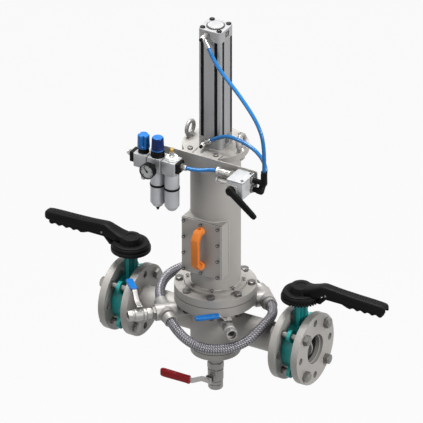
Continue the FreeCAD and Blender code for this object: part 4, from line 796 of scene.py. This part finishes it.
black_parts += [spun(housing, filter_here), black, spun(collar, shutoff_here), black,
                spun(drain, filter_here, 32), black, spun(bowl_end, oiler_here, 40), black]
band = [(18.4, 418), (19.2, 418), (19.7, 418.6), (19.7, 423.4), (19.2, 424), (18.4, 424)]
for here in (filter_here, oiler_here):
    black_parts += [spun(band, here, 64, hollow=True), black]
piece("service_black_parts", "frame", "service_trim", *black_parts)
plug = [(0, -27), (4.4, -27), (5.2, -26.2), (5.2, -21.6), (7.4, -21), (8, -20), (8, -12.6), (7.4, -12),
        (0, -12)]
vent = [(0, 423), (4.4, 423), (5.0, 424), (6.8, 426), (6.8, 436), (6.2, 437), (6.8, 438), (6.8, 448),
        (6.2, 449), (6.8, 450), (6.8, 464), (0, 464)]
sintered = surface("sintered bronze", (0.30, 0.30, 0.29), (0.42, 0.41, 0.39), (0.45, 0.6), metallic=0.8,
                   scale=200, bump=0.6, grain=1500)
piece("service_metal_parts", "frame", "service_trim", spun(plug, lengthwise(-151.5, unit_y, 487), 40),
      nickel, spun(vent, shutoff_here, 40), sintered)
brass = surface("turned brass", (0.42, 0.27, 0.07), (0.58, 0.39, 0.13), (0.20, 0.34), metallic=0.95, scale=80)


def fluted(levels, count, place, steps=144):
    """A knob from heights, radii and how deep its flutes are there."""
    rows = []
    for h, r, depth in levels:
        rows.append([polar(r - depth * max(0.0, math.cos(count * t)) ** 2, t, h) for t in turns(steps)])
    return lofted(rows, place)


blue = surface("blue moulding", (0.004, 0.09, 0.30), (0.007, 0.125, 0.39), (0.25, 0.38), scale=45, bump=0.12,
               soft=0.8, shine=0.3)
deep_blue = surface("deep blue moulding", (0.001, 0.010, 0.07), (0.002, 0.018, 0.11), (0.25, 0.38), scale=45,
                    bump=0.12, shine=0.2)
grip_levels = [(518.6, 15.4, 0), (519.4, 15.8, 1.0), (541, 14.9, 1.0), (547.6, 14.6, 0.9),
               (549.6, 13.9, 0.2), (550.2, 13.2, 0)]
base_ring = [(0, 516.3), (15.8, 516.3), (16.2, 516.8), (16.2, 518.2), (15.8, 518.7), (0, 518.7)]
top_disc = [(0, 550), (13.0, 550), (13.0, 550.6), (12.4, 551.3), (0, 551.3)]
piece("regulator_knob_look", "regulator", "regulator_knob", fluted(grip_levels, 18, filter_here), deep_blue,
      spun(base_ring, filter_here, 72), blue, spun(top_disc, filter_here, 72), blue)
lobe_turn = 1.13
lobes = []
for h, r, waist in ((512.3, 14.6, 0.0), (513.2, 15.5, 0.0), (518, 15.5, 0.2), (520.5, 15.3, 5.0),
                    (545, 14.8, 5.4), (547.2, 14.2, 5.2), (548.3, 13.0, 4.8)):
    lobes.append([polar(r - waist * abs(math.cos(1.5 * (t + lobe_turn))) ** 14, t, h) for t in turns(144)])
piece("shutoff_knob_look", "shutoff", "shutoff_knob", lofted(lobes, shutoff_here), blue)
piece("lubricator_screw_look", "oiler", "lubricator_screw",
      fluted([(509.4, 2.9, 0), (520.3, 2.9, 0), (520.4, 4.6, 0), (521, 5.0, 0.5), (529.6, 5.0, 0.5),
              (530.6, 4.3, 0), (531, 2.4, 0), (531.3, 2.2, 0)], 20, oiler_here), brass)
piece("sight_tube", "frame", None, spun(sight, oiler_here, 40, hollow=True), nickel)

# Pressure gauge: black steel case with a rolled bezel, a white lacquered dial
# with printed marks, and a needle from the part's own model.
gauge = forward(block_places["filter"], -160, 480)
case = [(0, -18), (5.6, -18), (6, -17.4), (6, -1), (8, 0), (18.4, 0), (19.6, 1.2), (19.8, 14.6), (20, 15),
        (20, 17.4), (19.4, 18), (18.4, 18), (18, 17.4), (18, 14.8), (0, 14.8)]
dial = [(0, 14.7), (17.9, 14.7), (17.9, 15.0), (0, 15.0)]
piece("gauge_case", "frame", "pressure_gauge", spun(case, gauge, 72), black, spun(dial, gauge, 64), white)
marks = [polar(15.4, math.radians(225.0 - 270.0 * i / 20), 15.05) for i in range(21)]
grown("gauge_fine_marks", "frame", None, ribs, marks, gauge, black, long=2.4, wide=0.8, high=0.1)
bold_marks = [(x * 0.955, y * 0.955, z) for x, y, z in marks[::4]]
grown("gauge_bold_marks", "frame", None, ribs, bold_marks, gauge, black, long=4.4, wide=1.9, high=0.12)

# Hand lever valve: a die cast block, its lid held by two dark screws, with the
# black nylon lever on a stainless clip in front.
light_cast = surface("light die casting", (0.38, 0.385, 0.39), (0.46, 0.465, 0.47), (0.32, 0.46),
                     metallic=0.2, scale=60, bump=0.25, grain=700)
block_middle = (138, -118)
block = laid(*block_middle, 458)
block_top = laid(*block_middle, 502.4)
handle_x = 131
handle_z = 479
body_plan = rounded(46, 60, 2.5)
lid_plan = rounded(45.2, 59.2, 2.2)
clip = slab([(-12, -11), (14, -11), (14, 13), (-12, 13)], 0, 2, forward(handle_x, -148, handle_z), soft=0.5)
valve_block = slab(body_plan, 0, 41.6, block, soft=0.8)
lid_seal = slab(rounded(44, 58, 2), 41.0, 42.4, block, soft=0.2)
valve_lid = slab(lid_plan, 42.0, 47.0, block, soft=0.8)
piece("lever_valve_look", "frame", "lever_valve_body", valve_block, light_cast, valve_lid, light_cast,
      lid_seal, black, clip, lever_steel)
screws("valve_lid_screws", None, [(17, -22, 0), (17, 22, 0)], block_top, size=4.8)
handle_axis = forward(handle_x, -150.3, handle_z)
handle_turn = handle_axis @ Matrix.Rotation(math.radians(-38), 4, "Z")
hub = [(0, -10), (5, -10), (5, 0), (10.4, 0), (11, 0.8), (11, 10.6), (10, 12), (0, 12)]
grip_rings = []
for u, half, low, high in ((2, 9.2, 1.6, 11.6), (30, 8.8, 1.8, 11.6), (60, 8.2, 2.2, 11.6),
                           (82, 7.6, 2.6, 11.5), (88, 6.6, 3.2, 11.0), (91, 4.2, 4.6, 9.8)):
    loop_points = rounded(2 * half, high - low, min(half, (high - low) / 2) * 0.7)
    grip_rings.append([(u, a, (low + high) / 2 + b) for a, b in loop_points])
piece("valve_handle_look", "air_lever", "valve_handle", spun(hub, handle_turn, 40), black,
      lofted(grip_rings, handle_turn), black)
clip_rings = []
for x, y, _ in [polar(12.4, math.radians(a)) for a in range(-20, 201, 20)]:
    clip_rings.append([(x * k, y * k, h) for k, h in ((1.0, 0.0), (1.14, 0.0), (1.14, 1.2), (1.0, 1.2))])
piece("handle_clip", "frame", None, lofted(clip_rings, handle_axis), lever_steel)

# Fittings: nickel plated brass bodies screwed into the air unit and the hand valve,
# white release rings, and black nylon elbows that turn on the valve's other side.
port_line = -104.0
unit_bore = 487.0
upper_port = 494.0
lower_port = 469.0
block_left = 115.0
block_right = 161.0
outlet_way = lengthwise(-26.5, unit_y, unit_bore)
inlet_way = lengthwise(block_left, port_line, upper_port, way=-1)
vent_way = lengthwise(block_left, port_line, lower_port, way=-1)
straight = [(0, 7), (7.2, 7), (7.5, 7.5), (7.5, 15), (7, 15.5), (5.1, 15.5), (5.1, 9), (0, 9)]
long_run = [(0, 12), (7.4, 12), (7.8, 12.6), (7.8, 22), (6.8, 23), (6.8, 25), (7.8, 26), (7.8, 40.4),
            (7.0, 41.2), (6.2, 41.4), (6.2, 46), (5.5, 46), (5.5, 31), (0, 31)]
release = [(6.2, 46), (8.4, 46), (8.8, 46.5), (8.8, 50), (8.2, 50.8), (6.4, 50.8), (6.0, 50.2), (6.2, 46)]
short_run = [(0, 8), (6.6, 8), (7.2, 8.8), (7.2, 16), (6.2, 17), (6.2, 19), (7.2, 20), (7.2, 40), (6.2, 41),
             (6.2, 46), (4.9, 46), (4.9, 30), (0, 30)]
piece("push_in_fittings", "frame", "tube_fittings", spun(straight, outlet_way, 40), nickel,
      spun(long_run, inlet_way, 40), nickel, spun(short_run, vent_way, 40), nickel,
      spun(release, inlet_way, 40, hollow=True), white, spun(release, vent_way, 40, hollow=True), white)
hexes("outlet_fitting_nut", None, single, outlet_way, flats=17.0, height=7.0, diameter=10.0)
hexes("inlet_fitting_nut", None, single, inlet_way, flats=17.0, height=12.0, diameter=10.0)
hexes("vent_fitting_nut", None, single, vent_way, flats=15.0, height=8.0, diameter=10.0)
for name, x, z, leg, tilt in (("upper", 196.0, upper_port, 33.0, 0.0),
                              ("lower", 187.0, lower_port, 24.0, 36.87)):
    run = x - block_right
    a = math.radians(tilt)
    along_run = lengthwise(block_right, port_line, z)
    up_leg = laid(x, port_line, z, z_axis=(0, math.sin(a), math.cos(a)), x_axis=(1, 0, 0))
    shaft = [(0, 0), (6.6, 0), (6.6, run - 12), (7.8, run - 10), (8.4, run), (7.6, run + 4), (5, run + 7),
             (0, run + 8.2)]
    stem = [(0, -8.6), (5, -7.6), (7.6, -4), (8.4, 0), (8.2, leg - 9), (6.8, leg - 8), (7.6, leg - 7),
            (7.6, leg - 0.8), (6.4, leg), (5.1, leg), (5.1, leg - 4), (0, leg - 4)]
    piece(name + "_elbow", "frame", "elbow_fittings", spun(shaft, along_run, 40), black,
          spun(stem, up_leg, 40), black)
    hexes(name + "_elbow_nut", None, single, along_run, flats=17.0, height=6.0, diameter=11.0)

# Air hoses: polyurethane tube, 10 mm outside, coiled when it was sold and so a
# little sprung. The points are the ones the part's own tubes are drawn from.
air_tube = surface("blue air tube", (0.005, 0.10, 0.29), (0.008, 0.135, 0.36), (0.16, 0.26), scale=30,
                   bump=0.05, shine=0.35)
air_size = 0.010
air_routes = {
    "supply_hose": [(-16, -122, 487), (14, -122, 486), (52, -104, 493), (83, -104, 494)],
    "cylinder_hose_upper": [(5.1, -45, 791), (27, -50, 752), (110, -75, 702), (180, -98, 645),
                            (198, -104, 585), (196, -104, 523)],
    "cylinder_hose_lower": [(13.3, -45, 534), (47, -46, 559), (94, -54, 564), (141, -61, 556),
                            (172, -67, 536), (187, -74.2, 508.7), (187, -92, 485)],
}


def route_curve(name, route, radius):
    """A curve on the route's control points, round when it has a radius."""
    curve = bpy.data.curves.new(name, "CURVE")
    curve.dimensions = "3D"
    curve.bevel_depth = radius
    curve.bevel_resolution = 5
    curve.resolution_u = 12
    curve.use_fill_caps = radius > 0
    line = curve.splines.new("NURBS")
    line.points.add(len(route) - 1)
    for point, place in zip(line.points, route):
        point.co = (*vessel(*place), 1)
    line.order_u = 3
    line.use_endpoint_u = True
    return added(name, curve)


def centre_line(name, route):
    """The points of the route's own curve, in order."""
    bare = route_curve(name, route, 0.0)
    mesh = frozen(bare)
    bpy.data.objects.remove(bare)
    return [v.co.copy() for v in mesh.vertices]


def line_length(points):
    return sum((b - a).length for a, b in zip(points, points[1:]))


for name, route in air_routes.items():
    tube = route_curve(name + "_look", route, air_size / 2)
    tube.data.materials.append(air_tube)
    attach(tube, "frame")
    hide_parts(name)
    line_length(centre_line(name, route))

# Flush hoses: rubber hose under a braid of stainless wire, twenty flat bundles, ten
# each hand, that pass over and under each other. One hand's bundles are the same wire
# painted darker as shade. Crimped steel sleeves hold the ends.
braid_dark = surface("braid shadow", (0.008, 0.008, 0.009), (0.02, 0.02, 0.022), (0.5, 0.7), metallic=0.3,
                     scale=300, bump=0.3)
braid_wire = surface("braid wire", (0.20, 0.195, 0.215), (0.36, 0.35, 0.375), (0.34, 0.5), metallic=0.5,
                     scale=500, bump=0.5, grain=2500)
# Painted shade: the same wire as the braid wire, only darker, for the bundles of one hand.
braid_wire_in_shade = surface("braid wire in painted shade", (0.045, 0.045, 0.05), (0.11, 0.105, 0.115), (0.4, 0.55),
                     metallic=0.5, scale=500, bump=0.5, grain=2500)
flush_routes = {
    "flush_hose_front": [(-71.4, -109.6, 45), (-20, -152, 30), (50, -146, 2), (126, -98, 8), (160, -45, 50),
                         (156, 28, 58), (110, 72, 45)],
    "flush_hose_back": [(-109.6, -71.4, 45), (-152, -28, 54), (-158, 48, 75), (-100, 125, 77),
                        (-5, 157, 60), (72, 110, 45)],
}
hose_radius = 0.0125


def stepped(points, pitch):
    """The same line with points at even steps, and the two ways across it at each."""
    total = line_length(points)
    count = max(2, round(total / pitch))
    placed = []
    walked = 0.0
    aim_length = 0.0
    for a, b in zip(points, points[1:]):
        span = (b - a).length
        while aim_length <= walked + span + 1e-9 and len(placed) <= count:
            placed.append(a.lerp(b, (aim_length - walked) / span))
            aim_length = total * len(placed) / count
        walked += span
    across = Vector((0, 0, 1))
    rows = []
    for i, p in enumerate(placed):
        way = (placed[min(i + 1, len(placed) - 1)] - placed[max(i - 1, 0)]).normalized()
        across = (across - way * across.dot(way)).normalized()
        rows.append((p, across.copy(), way.cross(across)))
    return rows


def braid(points, radius, bundles, turn_length, width, hand):
    """Flat bundles wound one way round a line, each passing over and under those of the other hand."""
    bm = bmesh.new()
    spacing = turn_length / bundles / 2
    rows = stepped(points, spacing / 4)
    total = line_length(points)
    for bundle in range(bundles):
        last = None
        for i, (p, u, v) in enumerate(rows):
            along = total * i / (len(rows) - 1)
            a = hand * (2 * math.pi * along / turn_length) + 2 * math.pi * bundle / bundles
            lift = radius + 0.00045 + hand * 0.00040 * math.cos(math.pi * along / spacing)
            ribbon = []
            for side, drop in ((-1, 0.0005), (-0.6, 0.0), (0.6, 0.0), (1, 0.0005)):
                turn = a + side * width / radius / 2
                ribbon.append(bm.verts.new(p + (u * math.cos(turn) + v * math.sin(turn)) * (lift - drop)))
            if last:
                for k in range(3):
                    bm.faces.new((last[k], last[k + 1], ribbon[k + 1], ribbon[k]))
            last = ribbon
    bmesh.ops.recalc_face_normals(bm, faces=bm.faces)
    return as_mesh(bm)


for name, route in flush_routes.items():
    points = centre_line(name, route)
    core = route_curve(name + "_core", route, hose_radius - 0.0009)
    core.data.materials.append(braid_dark)
    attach(core, "frame")
    weave = []
    for hand, wire in ((-1, braid_wire_in_shade), (1, braid_wire)):
        weave += [braid(points, hose_radius - 0.0009, bundles=10, turn_length=0.060, width=0.0050,
                        hand=hand), wire]
    weave = piece(name + "_braid", "frame", None, *weave)
    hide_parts(name)
    for number, (start, toward) in enumerate(((route[0], route[1]), (route[-1], route[-2]))):
        sleeve = [(12.9, 0), (15.9, 0), (16.6, 0.8), (16.6, 4), (15.8, 5), (15.8, 6), (16.6, 7), (16.6, 10),
                  (15.8, 11), (15.8, 12), (16.6, 13), (16.6, 16), (15.8, 17), (15.8, 18), (16.4, 19),
                  (16.4, 20), (12.9, 20.2)]
        way = Vector(toward) - Vector(start)
        piece(name + "_sleeve_" + str(number + 1), "frame", None,
              spun(sleeve, laid(*start, z_axis=way, x_axis=(0.3, 0.2, 1)), 48, hollow=True), bright)

# Camera: it looks down on the front from the right, as in the photograph, from so
# far off that parallel lines stay parallel.
view_azimuth = math.radians(30.0)
view_elevation = math.radians(29.5)
millimetres_per_pixel = 2.47
origin_pixel = (215.6, 320.3)
photo_pixels = 423
lens = 1000.0
right = Vector((math.cos(view_azimuth), math.sin(view_azimuth), 0))
back = Vector((math.sin(view_azimuth) * math.cos(view_elevation),
               -math.cos(view_azimuth) * math.cos(view_elevation), math.sin(view_elevation)))
up = back.cross(right)
metres_per_pixel = millimetres_per_pixel / 1000
aim = vessel(0, 0, 0)
aim += right * ((photo_pixels / 2 - origin_pixel[0]) * metres_per_pixel)
aim += up * ((origin_pixel[1] - photo_pixels / 2) * metres_per_pixel)
camera_data = bpy.data.cameras.new("photo camera")
camera_data.lens = lens
camera_data.clip_end = 200
distance = photo_pixels * metres_per_pixel * lens / camera_data.sensor_width
camera = added("photo camera", camera_data)
stance = Matrix((right, up, back)).transposed().to_4x4()
camera.matrix_world = Matrix.Translation(aim + back * distance) @ stance
scene.camera = camera


# Studio lights: a large soft one from the upper right, one overhead and a weak one
# in front, all aimed at the middle of the column.
def soft_light(name, place, target, size, power):
    data = bpy.data.lights.new(name, "AREA")
    data.shape = "SQUARE"
    data.size = size
    data.energy = power
    lamp = added(name, data)
    lamp.location = place
    lamp.rotation_euler = (target - place).to_track_quat("-Z", "Y").to_euler()


heart = vessel(0, 0, 300)
for name, way, size, power in (("key", (3.3, -0.5, 1.4), 1.4, 135), ("top", (-0.5, 0.2, 3.2), 1.8, 235),
                               ("front", (-1.4, -3.0, 0.6), 2.0, 14)):
    soft_light(name, heart + Vector(way), heart, size=size, power=power)

# Floor and background: plain pale paper, well below the object. To the eye it is
# white. It still takes the shadow, which darkens it where the light falls short.
floor_mesh = bpy.data.meshes.new("floor")
reach = 60.0
floor_z = -1.9
corners = [(x * reach, y * reach, floor_z) for x, y in ((-1, -1), (1, -1), (1, 1), (-1, 1))]
floor_mesh.from_pydata(corners, [], [(0, 1, 2, 3)])
floor = added("floor", floor_mesh)
pale = surface("pale floor", (0.55, 0.55, 0.55), (0.58, 0.58, 0.58), (0.85, 0.9), scale=0.5, bump=0.0)
floor_mesh.materials.append(pale)


def straight_sight(tree):
    """1 for what the eye sees, directly, in a shiny face or through glass."""
    path = put(tree, "ShaderNodeLightPath")
    shiny = calc(tree, "MAXIMUM", path["Is Glossy Ray"], path["Is Transmission Ray"])
    return calc(tree, "MAXIMUM", path["Is Camera Ray"], shiny)


paper_share = 0.93
tree = pale.node_tree
shader = tree.nodes["Principled BSDF"]
seen = straight_sight(tree)
paper = put(tree, "ShaderNodeEmission", {"Color": (1, 1, 1, 1), "Strength": 1.0})[0]
share = calc(tree, "MULTIPLY", seen, paper_share)
mixed = put(tree, "ShaderNodeMixShader", {0: share, 1: shader.outputs[0], 2: paper})[0]
tree.links.new(mixed, tree.nodes["Material Output"].inputs["Surface"])

world = bpy.data.worlds.new("studio")
scene.world = world
world.use_nodes = True
seen = straight_sight(world.node_tree)
shade = put(world.node_tree, "ShaderNodeMix", {0: seen, 6: (0.15, 0.155, 0.165, 1), 7: (1, 1, 1, 1)},
            data_type="RGBA")[2]
world.node_tree.links.new(shade, world.node_tree.nodes["Background"].inputs["Color"])
scene.view_settings.view_transform = "Standard"
